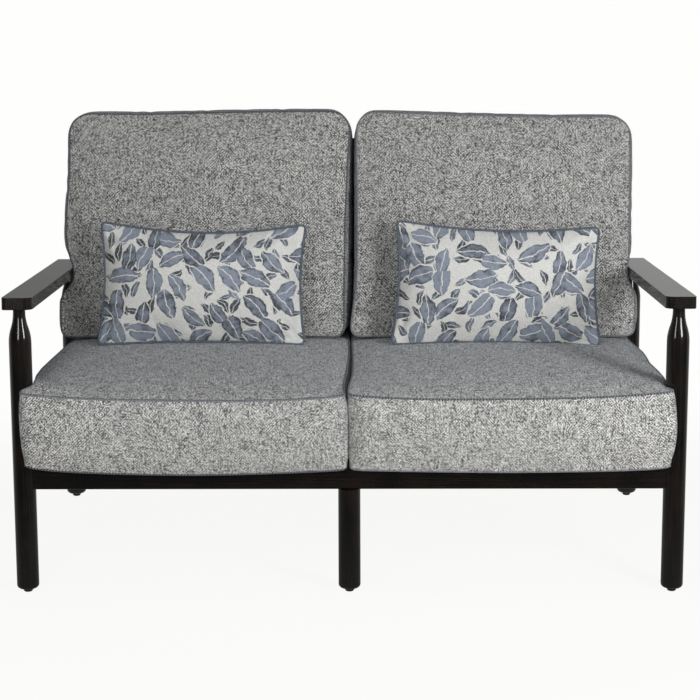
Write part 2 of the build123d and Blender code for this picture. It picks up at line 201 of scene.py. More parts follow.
# Woven acrylic tweed: off-white and charcoal yarns. A cell is a crossing of yarns, pale or dark at
# random, over short diagonal streaks that run one way or the other from patch to patch, with
# slubs along the warp and the weft. The yarn is about 1 mm; a cell is drawn twice that, or it
# would not show
tweedLook = {
    "light": "#efefec",
    "dark": "#25282b",
    "cellMm": 1.95,
    "patchCells": 5.0,
    "patchWander": 9,
    "leftSlantShare": 0.38,
    "streakWidthMm": 1.9,
    "streakLengthMm": 3.8,
    "slubWidthMm": 2.4,
    "slubLengthMm": 30.0,
    "mottleMm": 26.0,
    # What twill line, cell, streak, warp slub, weft slub and mottle add to a cell's tone, and
    # between which sums it goes from dark to light
    "evenTone": 0.24,
    "weights": (-0.55, 0.95, 1.2, 0.8, 0.5, 0.4),
    "darkest": 1.58,
    "palest": 2.50,
    "sheen": 0.25,
    "yarnDepthMm": 0.5,
}
# The back cushions' covers are cut across the cloth, and their weave reads coarser. Their pale yarn
# is drawn a little darker than the seat's: painted shade on the back cushions
backTweedLook = {
    **tweedLook,
    # pale yarn darker than the seat's #efefec: painted shade
    "light": "#e6e6e3",
    "cellMm": 2.25,
    "streakWidthMm": 2.3,
    "streakLengthMm": 4.6,
    "darkest": 1.61,
    "palest": 2.46,
}


def wovenTweed(name, look):
    material, tree = startMaterial(name)
    uv = addNode(tree, "UVMap", uv_map="cloth")
    perCell = 1 / (look["cellMm"] * mm)
    cells = addNode(
        tree, "VectorMath", {0: (uv, 0), 1: (perCell, perCell, 0)}, operation="MULTIPLY")
    index = addNode(tree, "VectorMath", {0: (cells, 0)}, operation="FLOOR")
    # The patches' borders wander, so that no squares show
    drift = addNode(tree, "TexNoise", {"Vector": (index, 0), "Scale": 0.21, "Detail": 1.0})
    wander = (look["patchWander"], look["patchWander"], 0)
    pushed = addNode(tree, "VectorMath", {0: (drift, "Color"), 1: wander, 2: (index, 0)},
                     operation="MULTIPLY_ADD")
    perPatch = 1 / look["patchCells"]
    patches = addNode(
        tree, "VectorMath", {0: (pushed, 0), 1: (perPatch, perPatch, 0)}, operation="MULTIPLY")
    patch = addNode(tree, "VectorMath", {0: (patches, 0)}, operation="FLOOR")
    patchToss = addNode(tree, "TexWhiteNoise", {"Vector": (patch, 0)}, noise_dimensions="2D")
    either = addNode(
        tree, "Math", {0: (patchToss, 0), 1: look["leftSlantShare"]}, operation="GREATER_THAN")
    slant = addNode(tree, "Math", {0: (either, 0), 1: 2.0, 2: -1.0}, operation="MULTIPLY_ADD")
    # Every third cell along a diagonal is a twill line
    count = addNode(tree, "SeparateXYZ", {0: (index, 0)})
    slanted = addNode(
        tree, "Math", {0: (count, 0), 1: (slant, 0), 2: (count, 1)}, operation="MULTIPLY_ADD")
    step = addNode(tree, "Math", {0: (slanted, 0), 1: 3.0}, operation="FLOORED_MODULO")
    weft = addNode(tree, "Math", {0: (step, 0), 1: 0.5}, operation="LESS_THAN")
    part = addNode(tree, "SeparateXYZ", {0: (uv, 0)})
    leant = addNode(tree, "Math", {0: (part, 0), 1: (slant, 0)}, operation="MULTIPLY")
    acrossStreak = addNode(tree, "Math", {0: (leant, 0), 1: (part, 1)}, operation="ADD")
    alongStreak = addNode(tree, "Math", {0: (leant, 0), 1: (part, 1)}, operation="SUBTRACT")
    streakPlace = addNode(tree, "CombineXYZ", {0: (acrossStreak, 0), 1: (alongStreak, 0)})
    streakScale = (1 / (look["streakWidthMm"] * mm), 1 / (look["streakLengthMm"] * mm), 0)
    streaks = addNode(
        tree, "VectorMath", {0: (streakPlace, 0), 1: streakScale}, operation="MULTIPLY")
    streak = addNode(tree, "TexNoise", {"Vector": (streaks, 0), "Scale": 1.0, "Detail": 1.0})
    toss = addNode(tree, "TexWhiteNoise", {"Vector": (index, 0)}, noise_dimensions="2D")
    perWidth, perLength = 1 / (look["slubWidthMm"] * mm), 1 / (look["slubLengthMm"] * mm)
    slubs = []
    for stretch in ((perWidth, perLength, 0), (perLength, perWidth, 0)):
        slubPlace = addNode(tree, "VectorMath", {0: (uv, 0), 1: stretch}, operation="MULTIPLY")
        slubs.append(
            addNode(tree, "TexNoise", {"Vector": (slubPlace, 0), "Scale": 1.0, "Detail": 2.0}))
    mottle = addNode(
        tree, "TexNoise", {"Vector": (uv, 0), "Scale": 1 / (look["mottleMm"] * mm), "Detail": 4.0})
    tone = look["evenTone"]
    for pattern, weight in zip((weft, toss, streak, *slubs, mottle), look["weights"]):
        added = addNode(
            tree, "Math", {0: (pattern, 0), 1: weight, 2: tone}, operation="MULTIPLY_ADD")
        tone = (added, 0)
    share = addNode(
        tree, "MapRange", {0: tone, 1: look["darkest"], 2: look["palest"], 3: 0.0, 4: 1.0})
    colour = addNode(
        tree, "Mix", {0: (share, 0), 6: linearColour(look["dark"]), 7: linearColour(look["light"])},
        data_type="RGBA")
    bump = addNode(tree, "Bump", {
        "Height": (share, 0), "Strength": 0.35, "Distance": look["yarnDepthMm"] * mm})
    shader = addNode(tree, "BsdfPrincipled", {
        "Base Color": (colour, 2), "Roughness": 0.92, "Normal": (bump, 0), "IOR": 1.45,
        "Specular IOR Level": 0.25, "Sheen Weight": look["sheen"], "Sheen Roughness": 0.45,
        "Sheen Tint": linearColour(coolSheen),
    })
    closeMaterial(tree, shader)
    return material


# Printed linen: an off-white ground strewn with slate-blue leaves, each turned its own way and
# laid on like watercolour: a bare midrib, darker rims, paler where the wash thins
printLook = {
    "ground": "#f4f4f0",
    "groundDark": "#dadbd8",
    "inkLight": "#8893a6",
    "inkDark": "#253041",
    "leaves": [
        {"spacingMm": 58.0, "lengthShare": 0.66, "widthShare": 0.31, "start": (0.0, 0.0)},
        {"spacingMm": 37.0, "lengthShare": 0.55, "widthShare": 0.21, "start": (3.7, 1.9)},
    ],
    "wanderMm": 6.0,
    "wandersPerMetre": 60.0,
    "fringesPerMetre": 330.0,
    "washesPerMetre": 52.0,
    "threadMm": 1.5,
    "wornShare": 0.2,
}


leafShape = {
    "scatter": 0.66,
    "smallest": 0.85,
    "sizeSpread": 0.3,
    "bend": 0.09,
    "fringe": 0.035,
    "edge": (0.012, 0.03),
    "rib": (0.012, 0.022),
}


def leafMask(tree, place, fringe, leaf):
    # One leaf to each cell of a scattered lattice: inside it where
    # |y + bend (1 - far^2)| < width (1 - far^2), far being x / length, with x and y measured from
    # the cell's point along and across a random direction. All but the spacing is in shares of it
    spacing = 1 / (leaf["spacingMm"] * mm)
    moved = addNode(tree, "VectorMath", {
        0: (place, 0), 1: (spacing, spacing, 0), 2: (*leaf["start"], 0)}, operation="MULTIPLY_ADD")
    cell = addNode(tree, "TexVoronoi", {
        "Vector": (moved, 0), "Scale": 1.0, "Randomness": leafShape["scatter"]},
        voronoi_dimensions="2D")
    offset = addNode(
        tree, "VectorMath", {0: (moved, 0), 1: (cell, "Position")}, operation="SUBTRACT")
    toss = addNode(tree, "SeparateColor", {0: (cell, "Color")})
    angle = addNode(tree, "Math", {0: (toss, 0), 1: 2 * math.pi}, operation="MULTIPLY")
    turned = addNode(tree, "VectorRotate", {"Vector": (offset, 0), "Angle": (angle, 0)},
                     rotation_type="Z_AXIS")
    part = addNode(tree, "SeparateXYZ", {0: (turned, 0)})
    size = addNode(tree, "Math", {
        0: (toss, 1), 1: leafShape["sizeSpread"], 2: leafShape["smallest"]},
        operation="MULTIPLY_ADD")
    x = addNode(tree, "Math", {0: (part, 0), 1: (size, 0)}, operation="DIVIDE")
    y = addNode(tree, "Math", {0: (part, 1), 1: (size, 0)}, operation="DIVIDE")
    far = addNode(tree, "Math", {0: (x, 0), 1: 1 / leaf["lengthShare"]}, operation="MULTIPLY")
    taper = addNode(tree, "Math", {0: (far, 0), 1: (far, 0)}, operation="MULTIPLY")
    taper = addNode(tree, "Math", {0: (taper, 0), 1: -1.0, 2: 1.0}, operation="MULTIPLY_ADD")
    bend = addNode(
        tree, "Math", {0: (taper, 0), 1: leafShape["bend"], 2: (y, 0)}, operation="MULTIPLY_ADD")
    half = addNode(tree, "Math", {0: (bend, 0)}, operation="ABSOLUTE")
    room = addNode(tree, "Math", {0: (taper, 0), 1: leaf["widthShare"]}, operation="MULTIPLY")
    room = addNode(tree, "Math", {0: (fringe, 0), 1: leafShape["fringe"], 2: (room, 0)},
                   operation="MULTIPLY_ADD")
    depth = addNode(tree, "Math", {0: (room, 0), 1: (half, 0)}, operation="SUBTRACT")
    start, end = leafShape["edge"]
    inside = addNode(tree, "MapRange", {0: (depth, 0), 1: start, 2: end})
    start, end = leafShape["rib"]
    rib = addNode(tree, "MapRange", {0: (half, 0), 1: start, 2: end})
    ribbed = addNode(tree, "Math", {0: (inside, 0), 1: (rib, 0)}, operation="MULTIPLY")
    return ribbed, depth, toss


def printedLinen(name, look):
    material, tree = startMaterial(name)
    uv = addNode(tree, "UVMap", uv_map="cloth")
    wander = addNode(
        tree, "TexNoise", {"Vector": (uv, 0), "Scale": look["wandersPerMetre"], "Detail": 2.0})
    centred = addNode(
        tree, "VectorMath", {0: (wander, "Color"), 1: (0.5, 0.5, 0.5)}, operation="SUBTRACT")
    amount = look["wanderMm"] * mm * 2
    moved = addNode(
        tree, "VectorMath", {0: (centred, 0), 1: (amount, amount, 0), 2: (uv, 0)},
        operation="MULTIPLY_ADD")
    fringe = addNode(
        tree, "TexNoise", {"Vector": (uv, 0), "Scale": look["fringesPerMetre"], "Detail": 3.0})
    bigLeaves, bigDepth, bigToss = leafMask(tree, moved, fringe, look["leaves"][0])
    smallLeaves, _, _ = leafMask(tree, moved, fringe, look["leaves"][1])
    clearOfBig = addNode(tree, "MapRange", {0: (bigDepth, 0), 1: -0.05, 2: -0.02, 3: 1.0, 4: 0.0})
    smallLeaves = addNode(
        tree, "Math", {0: (smallLeaves, 0), 1: (clearOfBig, 0)}, operation="MULTIPLY")
    printed = addNode(tree, "Math", {0: (bigLeaves, 0), 1: (smallLeaves, 0)}, operation="MAXIMUM")
    # The wash's tone: a cloudy noise, darker at a leaf's rim, and each leaf with its own share
    wash = addNode(
        tree, "TexNoise", {"Vector": (uv, 0), "Scale": look["washesPerMetre"], "Detail": 5.0})
    rimTone = addNode(tree, "MapRange", {0: (bigDepth, 0), 1: 0.02, 2: 0.12, 3: -0.2, 4: 0.12})
    washTone = addNode(
        tree, "Math", {0: (wash, 0), 1: 1.6, 2: (rimTone, 0)}, operation="MULTIPLY_ADD")
    washTone = addNode(
        tree, "Math", {0: (bigToss, 2), 1: 0.4, 2: (washTone, 0)}, operation="MULTIPLY_ADD")
    washShare = addNode(tree, "MapRange", {0: (washTone, 0), 1: 0.74, 2: 1.16, 3: 0.0, 4: 1.0})
    inkDark, inkLight = linearColour(look["inkDark"]), linearColour(look["inkLight"])
    ink = addNode(tree, "Mix", {0: (washShare, 0), 6: inkDark, 7: inkLight}, data_type="RGBA")
    perThread = 1 / (look["threadMm"] * mm)
    threads = addNode(
        tree, "VectorMath", {0: (uv, 0), 1: (perThread, perThread, 0)}, operation="MULTIPLY")
    thread = addNode(tree, "VectorMath", {0: (threads, 0)}, operation="FLOOR")
    toss = addNode(tree, "TexWhiteNoise", {"Vector": (thread, 0)}, noise_dimensions="2D")
    groundDark, groundPale = linearColour(look["groundDark"]), linearColour(look["ground"])
    ground = addNode(tree, "Mix", {0: (toss, 0), 6: groundDark, 7: groundPale}, data_type="RGBA")
    cloth = addNode(tree, "Mix", {0: (printed, 0), 6: (ground, 2), 7: (ink, 2)}, data_type="RGBA")
    worn = addNode(tree, "Math", {0: (toss, 0), 1: look["wornShare"]}, operation="MULTIPLY")
    colour = addNode(tree, "Mix", {0: (worn, 0), 6: (cloth, 2), 7: (ground, 2)}, data_type="RGBA")
    bump = addNode(tree, "Bump", {"Height": (toss, 0), "Strength": 0.25, "Distance": 0.3 * mm})
    shader = addNode(tree, "BsdfPrincipled", {
        "Base Color": (colour, 2), "Roughness": 0.88, "Normal": (bump, 0), "IOR": 1.45,
        "Specular IOR Level": 0.25, "Sheen Weight": 0.12, "Sheen Roughness": 0.5,
    })
    closeMaterial(tree, shader)
    return material


# Bound welt: bias-cut cloth over a thin cord, its threads pale or deep at random, with stitches
# laid over a band of its width. A stitch is drawn about twice as long as a real one, to show
weltLook = {
    "pale": "#9b9fa3", "deep": "#5b5f65", "stitch": "#31363d", "stitchMm": 6.4, "bandMm": 3.2,
}
pipingLook = {
    "pale": "#7d8590", "deep": "#454d58", "stitch": "#c6cbd0", "stitchMm": 6.0, "bandMm": 3.4,
}
weltThreadsPerMetre = 700


def stitchedWelt(name, look):
    material, tree = startMaterial(name)
    uv = addNode(tree, "UVMap", uv_map="cloth")
    perMetre = (weltThreadsPerMetre, weltThreadsPerMetre, 0)
    cells = addNode(tree, "VectorMath", {0: (uv, 0), 1: perMetre}, operation="MULTIPLY")
    index = addNode(tree, "VectorMath", {0: (cells, 0)}, operation="FLOOR")
    toss = addNode(tree, "TexWhiteNoise", {"Vector": (index, 0)}, noise_dimensions="2D")
    cloth = addNode(
        tree, "Mix", {0: (toss, 0), 6: linearColour(look["deep"]), 7: linearColour(look["pale"])},
        data_type="RGBA")
    part = addNode(tree, "SeparateXYZ", {0: (uv, 0)})
    stitches = addNode(
        tree, "Math", {0: (part, 0), 1: 1 / (look["stitchMm"] * mm)}, operation="MULTIPLY")
    withinStitch = addNode(tree, "Math", {0: (stitches, 0)}, operation="FRACT")
    on = addNode(tree, "Math", {0: (withinStitch, 0), 1: 0.5}, operation="LESS_THAN")
    inBand = addNode(
        tree, "Math", {0: (part, 1), 1: 0.0, 2: look["bandMm"] * mm}, operation="COMPARE")
    sewn = addNode(tree, "Math", {0: (on, 0), 1: (inBand, 0)}, operation="MULTIPLY")
    colour = addNode(
        tree, "Mix", {0: (sewn, 0), 6: (cloth, 2), 7: linearColour(look["stitch"])},
        data_type="RGBA")
    bump = addNode(tree, "Bump", {"Height": (toss, 0), "Strength": 0.3, "Distance": 0.4 * mm})
    shader = addNode(tree, "BsdfPrincipled", {
        "Base Color": (colour, 2), "Roughness": 0.85, "Normal": (bump, 0),
        "Specular IOR Level": 0.25, "Sheen Weight": 0.2, "Sheen Tint": linearColour(coolSheen),
    })
    closeMaterial(tree, shader)
    return material


# Zip tape and coil of black nylon: woven tape with ribs across it, drawn paler on their crests and
# darker in the grooves between them: painted shade
zipRibMm = 1.5


def zipTape(name):
    material, tree = startMaterial(name)
    place = addNode(tree, "TexCoord")
    part = addNode(tree, "SeparateXYZ", {0: (place, "Object")})
    turns = 2 * math.pi / (zipRibMm * mm)
    ribs = addNode(tree, "Math", {0: (part, 0), 1: turns}, operation="MULTIPLY")
    ribs = addNode(tree, "Math", {0: (ribs, 0)}, operation="SINE")
    share = addNode(tree, "MapRange", {0: (ribs, 0), 1: -1.0, 2: 1.0})
    # Crests paler and grooves darker, following the ribs' bump: painted shade
    colour = addNode(
        tree, "Mix", {0: (share, 0), 6: linearColour("#141516"), 7: linearColour("#34363a")},
        data_type="RGBA")
    bump = addNode(tree, "Bump", {"Height": (share, 0), "Strength": 0.6, "Distance": 0.4 * mm})
    shader = addNode(tree, "BsdfPrincipled", {
        "Base Color": (colour, 2), "Roughness": 0.5, "Normal": (bump, 0), "IOR": 1.53,
    })
    closeMaterial(tree, shader)
    return material


coatAcross = powderCoat("EspressoPowderCoatAcross", 0)
coatDeep = powderCoat("EspressoPowderCoatDeep", 1)
coatUpright = powderCoat("EspressoPowderCoatUpright", 2)
bareMetal = bareAluminium("BareExtrudedAluminium")
zinc = zincSteel("ZincPlatedSteel")
nylon = mouldedNylon("MouldedBlackNylon")
zipNylon = zipTape("NylonZip")
tweed = wovenTweed("WovenAcrylicTweed", tweedLook)
backTweed = wovenTweed("WovenAcrylicTweedAcrossPaintedShade", backTweedLook)
linen = printedLinen("PrintedLinen", printLook)
welt = stitchedWelt("TweedWelt", weltLook)
piping = stitchedWelt("SlatePiping", pipingLook)
print("materials made")

# What each CAD node is finished in, by the start of its name
nodeFinishes = [
    ("arm_left", coatDeep), ("arm_right", coatDeep), ("arm_plug", bareMetal),
    ("arm_studs", zinc), ("arm_bolts", zinc), ("stile_bolts", zinc), ("stile_plugs", bareMetal),
    ("front_leg", coatUpright), ("rear_leg", coatUpright), ("front_glide", nylon),
    ("rear_glide", nylon), ("centre_rail_cap", nylon), ("back_rail_caps", nylon),
    ("front_rail", coatAcross), ("rear_rail", coatAcross), ("side_rail", coatDeep),
    ("centre_rail", coatDeep), ("seat_slat", coatAcross), ("back_stile", coatUpright),
    ("back_top_rail", coatAcross), ("back_lower_rail", coatAcross), ("back_slat", coatUpright),
    ("seat_cushion_zip", zipNylon), ("back_cushion_zip", zipNylon),
    ("seat_cushion", tweed), ("back_cushion", backTweed), ("lumbar_pillow", linen),
]
for nodeName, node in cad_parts.items():
    finish = next(material for start, material in nodeFinishes if nodeName.startswith(start))
    if not node.material_slots:
        node.data.materials.append(finish)
    for slot in node.material_slots:
        slot.material = finish
print("CAD nodes finished")


def smoothStep(value, low, high):
    share = np.clip((value - low) / (high - low), 0, 1)
    return share * share * (3 - 2 * share)


def bell(value, centre, width):
    return np.exp(-(((value - centre) / width) ** 2))


def softLimit(value, limit, softness):
    # The smaller of the two, with the corner where they meet rounded over
    gap = (value - limit) / softness
    return limit - softness * np.logaddexp(0, -gap)


def localBox(nodeName, place):
    # Lowest and highest of a node's points measured along a place's axes from its origin
    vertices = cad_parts[nodeName].data.vertices
    points = np.empty(len(vertices) * 3)
    vertices.foreach_get("co", points)
    local = (points.reshape(-1, 3) - np.array(place["origin"])) @ np.array(place["axes"]).T
    return local.min(0), local.max(0)


seamSharpness = 0.9    # crease of the seams under subdivision


def makeMesh(name, points, quads, cornerUvs, seamPoints=None):
    mesh = bpy.data.meshes.new(name)
    mesh.from_pydata(points.tolist(), [], quads.tolist())
    layer = mesh.uv_layers.new(name="cloth")
    layer.data.foreach_set("uv", cornerUvs.astype(np.float32).ravel())
    mesh.polygons.foreach_set("use_smooth", np.ones(len(quads), bool))
    if seamPoints is not None:
        ends = np.empty(len(mesh.edges) * 2, np.int32)
        mesh.edges.foreach_get("vertices", ends)
        ends = ends.reshape(-1, 2)
        onSeam = seamPoints[ends[:, 0]] & seamPoints[ends[:, 1]]
        crease = mesh.attributes.new("crease_edge", "FLOAT", "EDGE")
        crease.data.foreach_set("value", onSeam.astype(np.float32) * seamSharpness)
    mesh.update()
    piece = bpy.data.objects.new(name, mesh)
    bpy.context.scene.collection.objects.link(piece)
    return piece


def roundedPanel(aRange, bRange, radii, cellsA, cellsB):
    # A square grid drawn into a rounded rectangle: a point past the inner rectangle both ways is
    # pulled in until its distance from that rectangle is what its larger excess was. The radii are
    # those of the corners at the low and the high end of b
    u, v = np.meshgrid(
        np.linspace(-1, 1, cellsA + 1), np.linspace(-1, 1, cellsB + 1), indexing="ij")
    halfA = (aRange[1] - aRange[0]) / 2
    halfB = (bRange[1] - bRange[0]) / 2
    a, b = u * halfA, v * halfB
    radius = np.where(v < 0, radii[0], radii[1])
    overA = np.maximum(np.abs(a) - (halfA - radius), 0)
    overB = np.maximum(np.abs(b) - (halfB - radius), 0)
    length = np.hypot(overA, overB)
    share = np.where(length > 0, np.maximum(overA, overB) / np.maximum(length, 1e-9), 1)
    a = np.sign(a) * (np.abs(a) - overA * (1 - share))
    b = np.sign(b) * (np.abs(b) - overB * (1 - share))
    return u, v, a + (aRange[0] + aRange[1]) / 2, b + (bRange[0] + bRange[1]) / 2


def rimOrder(cellsA, cellsB):
    # The grid's edge points in one turn round the panel
    low = [(i, 0) for i in range(cellsA)]
    right = [(cellsA, j) for j in range(cellsB)]
    high = [(cellsA - i, cellsB) for i in range(cellsA)]
    left = [(0, cellsB - j) for j in range(cellsB)]
    return np.array(low + right + high + left)


def turnNormals(loop):
    # Outward normals, in the panel's plane, of a closed loop that turns counterclockwise
    along = np.roll(loop, -1, 0) - np.roll(loop, 1, 0)
    outward = np.stack([along[:, 1], -along[:, 0]], 1)
    return outward / np.linalg.norm(outward, axis=1, keepdims=True)


def gridQuads(rows, columns):
    index = np.arange(rows * columns).reshape(rows, columns)
    quads = np.stack([index[:-1, :-1], index[1:, :-1], index[1:, 1:], index[:-1, 1:]], -1)
    return quads.reshape(-1, 4)


def puckers(length, along, seed, waves):
    # Gathers along a seam: a few sines of unlike wavelengths, each with its own start
    random = np.random.default_rng(seed)
    total = np.zeros_like(along)
    for wave in waves:
        turns = round(length / wave)
        total += np.sin(2 * np.pi * (along / length * turns + random.random()))
    return total / len(waves)


# Along a boxed cushion's seams the boxing strip is gathered: ripples this deep that die away from
# the seam, a few wavelengths together
gatherLook = {"depth": 0.9 * mm, "reach": 9 * mm, "waves": (31 * mm, 43 * mm, 67 * mm)}


def boxedCushion(name, look, place):
    # A sewn box: a crowned panel on top, a flat one below, and a boxing strip between their rims
    # that bulges by 1 - |2s - 1|^2.2 of its own allowance, s running from seam to seam
    cellsA, cellsB, rows = look["cells"]
    u, v, topA, topB = roundedPanel(look["a"], look["b"], look["topRadius"], cellsA, cellsB)
    topC = look["topHeight"](u, v)
    topA, topB = look["topShift"](u, v, topA, topB)
    _, _, lowA, lowB = roundedPanel(look["a"], look["b"], look["lowRadius"], cellsA, cellsB)
    lowC = look["lowHeight"](u, v, lowA, lowB)
    lowA, lowB = look["lowShift"](u, v, lowA, lowB)
    rim = rimOrder(cellsA, cellsB)
    topRim = np.stack([g[rim[:, 0], rim[:, 1]] for g in (topA, topB, topC)], 1)
    lowRim = np.stack([g[rim[:, 0], rim[:, 1]] for g in (lowA, lowB, lowC)], 1)
    outward = turnNormals((topRim + lowRim)[:, :2])
    steps = np.linalg.norm(np.roll(topRim, -1, 0) - topRim, axis=1)
    along = np.concatenate([[0], np.cumsum(steps)])
    share = np.linspace(0, 1, rows + 1)[1:-1, None]
    strip = topRim[None] * (1 - share[..., None]) + lowRim[None] * share[..., None]
    bulge = look["bulge"](u[rim[:, 0], rim[:, 1]], v[rim[:, 0], rim[:, 1]])
    swell = bulge[None] * (1 - np.abs(2 * share - 1) ** 2.2)
    depth = np.linalg.norm(topRim - lowRim, axis=1)[None]
    nearTop = np.exp(-share * depth / gatherLook["reach"])
    nearLow = np.exp(-(1 - share) * depth / gatherLook["reach"])
    gather = puckers(along[-1], along[:-1], look["seed"], gatherLook["waves"])
    swell = swell + gatherLook["depth"] * gather[None] * (nearTop + nearLow)
    strip[..., :2] += swell[..., None] * outward[None]
    panels = np.concatenate([np.stack([topA, topB, topC], -1).reshape(-1, 3),
                             np.stack([lowA, lowB, lowC], -1).reshape(-1, 3)])
    points = np.concatenate([panels, strip.reshape(-1, 3)])
    perPanel = (cellsA + 1) * (cellsB + 1)
    topIndex = rim[:, 0] * (cellsB + 1) + rim[:, 1]
    middle = 2 * perPanel + np.arange(len(strip.reshape(-1, 3))).reshape(rows - 1, -1)
    ladder = np.concatenate([topIndex[None], middle, topIndex[None] + perPanel])
    after = np.roll(ladder, -1, 1)
    boxing = np.stack([ladder[:-1], ladder[1:], after[1:], after[:-1]], -1).reshape(-1, 4)
    panel = gridQuads(cellsA + 1, cellsB + 1)
    quads = np.concatenate([panel, panel[:, ::-1] + perPanel, boxing])
    # The cloth is laid flat on each panel, and runs round the boxing by its length and height
    panelUv = points[:perPanel, :2]
    lowUv = points[perPanel:2 * perPanel, :2]
    heights = np.linspace(0, 1, rows + 1)[:, None] * depth.mean()
    stripUv = np.stack(np.broadcast_arrays(along[None], -heights), -1)
    corners = np.stack([stripUv[:-1, :-1], stripUv[1:, :-1], stripUv[1:, 1:], stripUv[:-1, 1:]], 2)
    allUv = np.concatenate([panelUv[panel], lowUv[panel[:, ::-1]], corners.reshape(-1, 4, 2)])
    allUv = allUv + np.array(look["uvStart"])
    onSeam = np.zeros(len(points), bool)
    onSeam[topIndex] = True
    onSeam[topIndex + perPanel] = True
    if place["side"] < 0:
        quads = quads[:, ::-1]
        allUv = allUv[:, ::-1]
    piece = makeMesh(name, toWorld(points, place), quads, allUv, onSeam)
    held = np.zeros(len(points), bool)
    held[topIndex] = True
    held[perPanel:2 * perPanel] = True
    seams = {"top": (topIndex, outward, 1.0), "low": (topIndex + perPanel, outward, -1.0)}
    return piece, held, seams


def toWorld(points, place):
    # A left piece is drawn as a right one and mirrored across the loveseat's middle
    local = points * np.array([place["side"], 1, 1])
    return local @ np.array(place["axes"]) + np.array(place["origin"])


def inflate(piece, held, settings):
    # Air pressure in a cover of slightly too much cloth, its seams held: the panels fill and
    # wrinkle a little, and no point may move further than the cap
    before = readPoints(piece)
    group = piece.vertex_groups.new(name="held")
    group.add(np.flatnonzero(held).tolist(), 1.0, "REPLACE")
    modifier = piece.modifiers.new("fill", "CLOTH")
    cloth = modifier.settings
    cloth.quality = 5
    cloth.mass = 0.25
    cloth.tension_stiffness = settings["stiffness"]
    cloth.compression_stiffness = settings["stiffness"]
    cloth.shear_stiffness = settings["stiffness"] / 2
    cloth.bending_stiffness = settings["bending"]
    cloth.vertex_group_mass = "held"
    cloth.shrink_min = -settings["spareCloth"]
    cloth.use_pressure = True
    cloth.uniform_pressure_force = settings["pressure"]
    cloth.effector_weights.gravity = 0
    modifier.collision_settings.use_collision = False
    scene = bpy.context.scene
    for step in range(1, settings["steps"] + 1):
        scene.frame_set(step)
    evaluated = piece.evaluated_get(bpy.context.evaluated_depsgraph_get())
    after = np.empty_like(before).ravel()
    evaluated.data.vertices.foreach_get("co", after)
    piece.modifiers.remove(modifier)
    piece.vertex_groups.remove(group)
    scene.frame_set(1)
    moved = after.reshape(-1, 3) - before
    far = np.linalg.norm(moved, axis=1, keepdims=True)
    moved = moved * settings["cap"] * np.tanh(far / settings["cap"]) / np.maximum(far, 1e-9)
    writePoints(piece, before + moved)
    print(piece.name, "filled, moved at most", round(float(far.max()) / mm, 1), "mm")


def readPoints(piece):
    points = np.empty(len(piece.data.vertices) * 3)
    piece.data.vertices.foreach_get("co", points)
    return points.reshape(-1, 3)


def writePoints(piece, points):
    piece.data.vertices.foreach_set("co", points.ravel())
    piece.data.update()


def addSubdivision(piece, levels=1):
    modifier = piece.modifiers.new("smooth", "SUBSURF")
    modifier.levels = levels
    modifier.render_levels = levels


def closedTube(name, path, outward, radii, sides):
    # A cord round a closed path: an ellipse whose first radius lies along the outward direction.
    # Round it the cloth is measured from a line 1.2 mm beside the path, where the stitches lie
    along = np.roll(path, -1, 0) - np.roll(path, 1, 0)
    along /= np.linalg.norm(along, axis=1, keepdims=True)
    beside = np.cross(along, outward)
    beside /= np.linalg.norm(beside, axis=1, keepdims=True)
    angle = np.linspace(0, 2 * np.pi, sides, endpoint=False)
    ring = (path[:, None] + radii[0] * np.cos(angle)[None, :, None] * outward[:, None]
            + radii[1] * np.sin(angle)[None, :, None] * beside[:, None])
    count = len(path)
    index = np.arange(count * sides).reshape(count, sides)
    ahead = np.roll(index, -1, 0)
    quads = np.stack([index, np.roll(index, -1, 1), np.roll(ahead, -1, 1), ahead], -1)
    steps = np.linalg.norm(np.roll(path, -1, 0) - path, axis=1)
    length = np.concatenate([[0], np.cumsum(steps)])
    turn = np.append(angle, 2 * np.pi) * radii[1] - 1.2 * mm
    low, high = np.meshgrid(np.arange(count), np.arange(sides), indexing="ij")
    corner = [(length[low], turn[high]), (length[low], turn[high + 1]),
              (length[low + 1], turn[high + 1]), (length[low + 1], turn[high])]
    uvs = np.stack([np.stack(pair, -1) for pair in corner], 2).reshape(-1, 4, 2)
    return makeMesh(name, ring.reshape(-1, 3), quads.reshape(-1, 4), uvs)


def smoothLoop(path):
    return (np.roll(path, 1, 0) + 2 * path + np.roll(path, -1, 0)) / 4


def seamTube(name, piece, seam, place, radii, sink):
    # A welt in a cushion's seam, facing half outwards and half up or down
    index, outward, facing = seam
    lift = np.full((len(outward), 1), facing)
    lean = np.concatenate([outward, lift], 1) / math.sqrt(2)
    direction = (lean * np.array([place["side"], 1, 1])) @ np.array(place["axes"])
    path = smoothLoop(readPoints(piece)[index])
    return closedTube(name, path + direction * sink, direction, radii, sides=10)


def addCushionPiece(piece, body, finish):
    piece.data.materials.append(finish)
    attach(piece, body)


def squeezeOnLift(piece):
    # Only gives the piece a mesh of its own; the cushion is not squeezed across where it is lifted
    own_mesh(piece)


def finishCushion(piece, seams, place, sideName, look):
    # The sewn cover stands for the solid cover and core, and takes its two welts with it
    body = look["body"] + "_" + sideName
    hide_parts(look["body"] + "_cover_" + sideName, look["body"] + "_core_" + sideName)
    addCushionPiece(piece, body, look["cloth"])
    addSubdivision(piece)
    squeezeOnLift(piece)
    for seamName, (sink, radii) in look["welts"].items():
        tube = seamTube(piece.name + seamName.title() + "Welt", piece, seams[seamName], place,
                        radii, sink)
        addCushionPiece(tube, body, welt)
        squeezeOnLift(tube)


def readTable(table, share):
    # A table of places and values in millimetres, read at each share with soft corners
    places, values = np.array(table, float).T
    near = [np.interp(share + step, places, values) for step in (-0.1, -0.05, 0, 0.05, 0.1)]
    return sum(near) / len(near) * mm


def nearSide(u, facing):
    # From 0 to 1 towards the side where u = facing, with the sixth power
    return np.maximum((1 + facing * u) / 2, 0) ** 6


def nearRim(share):
    return smoothStep(share, 0.9, 1.0)


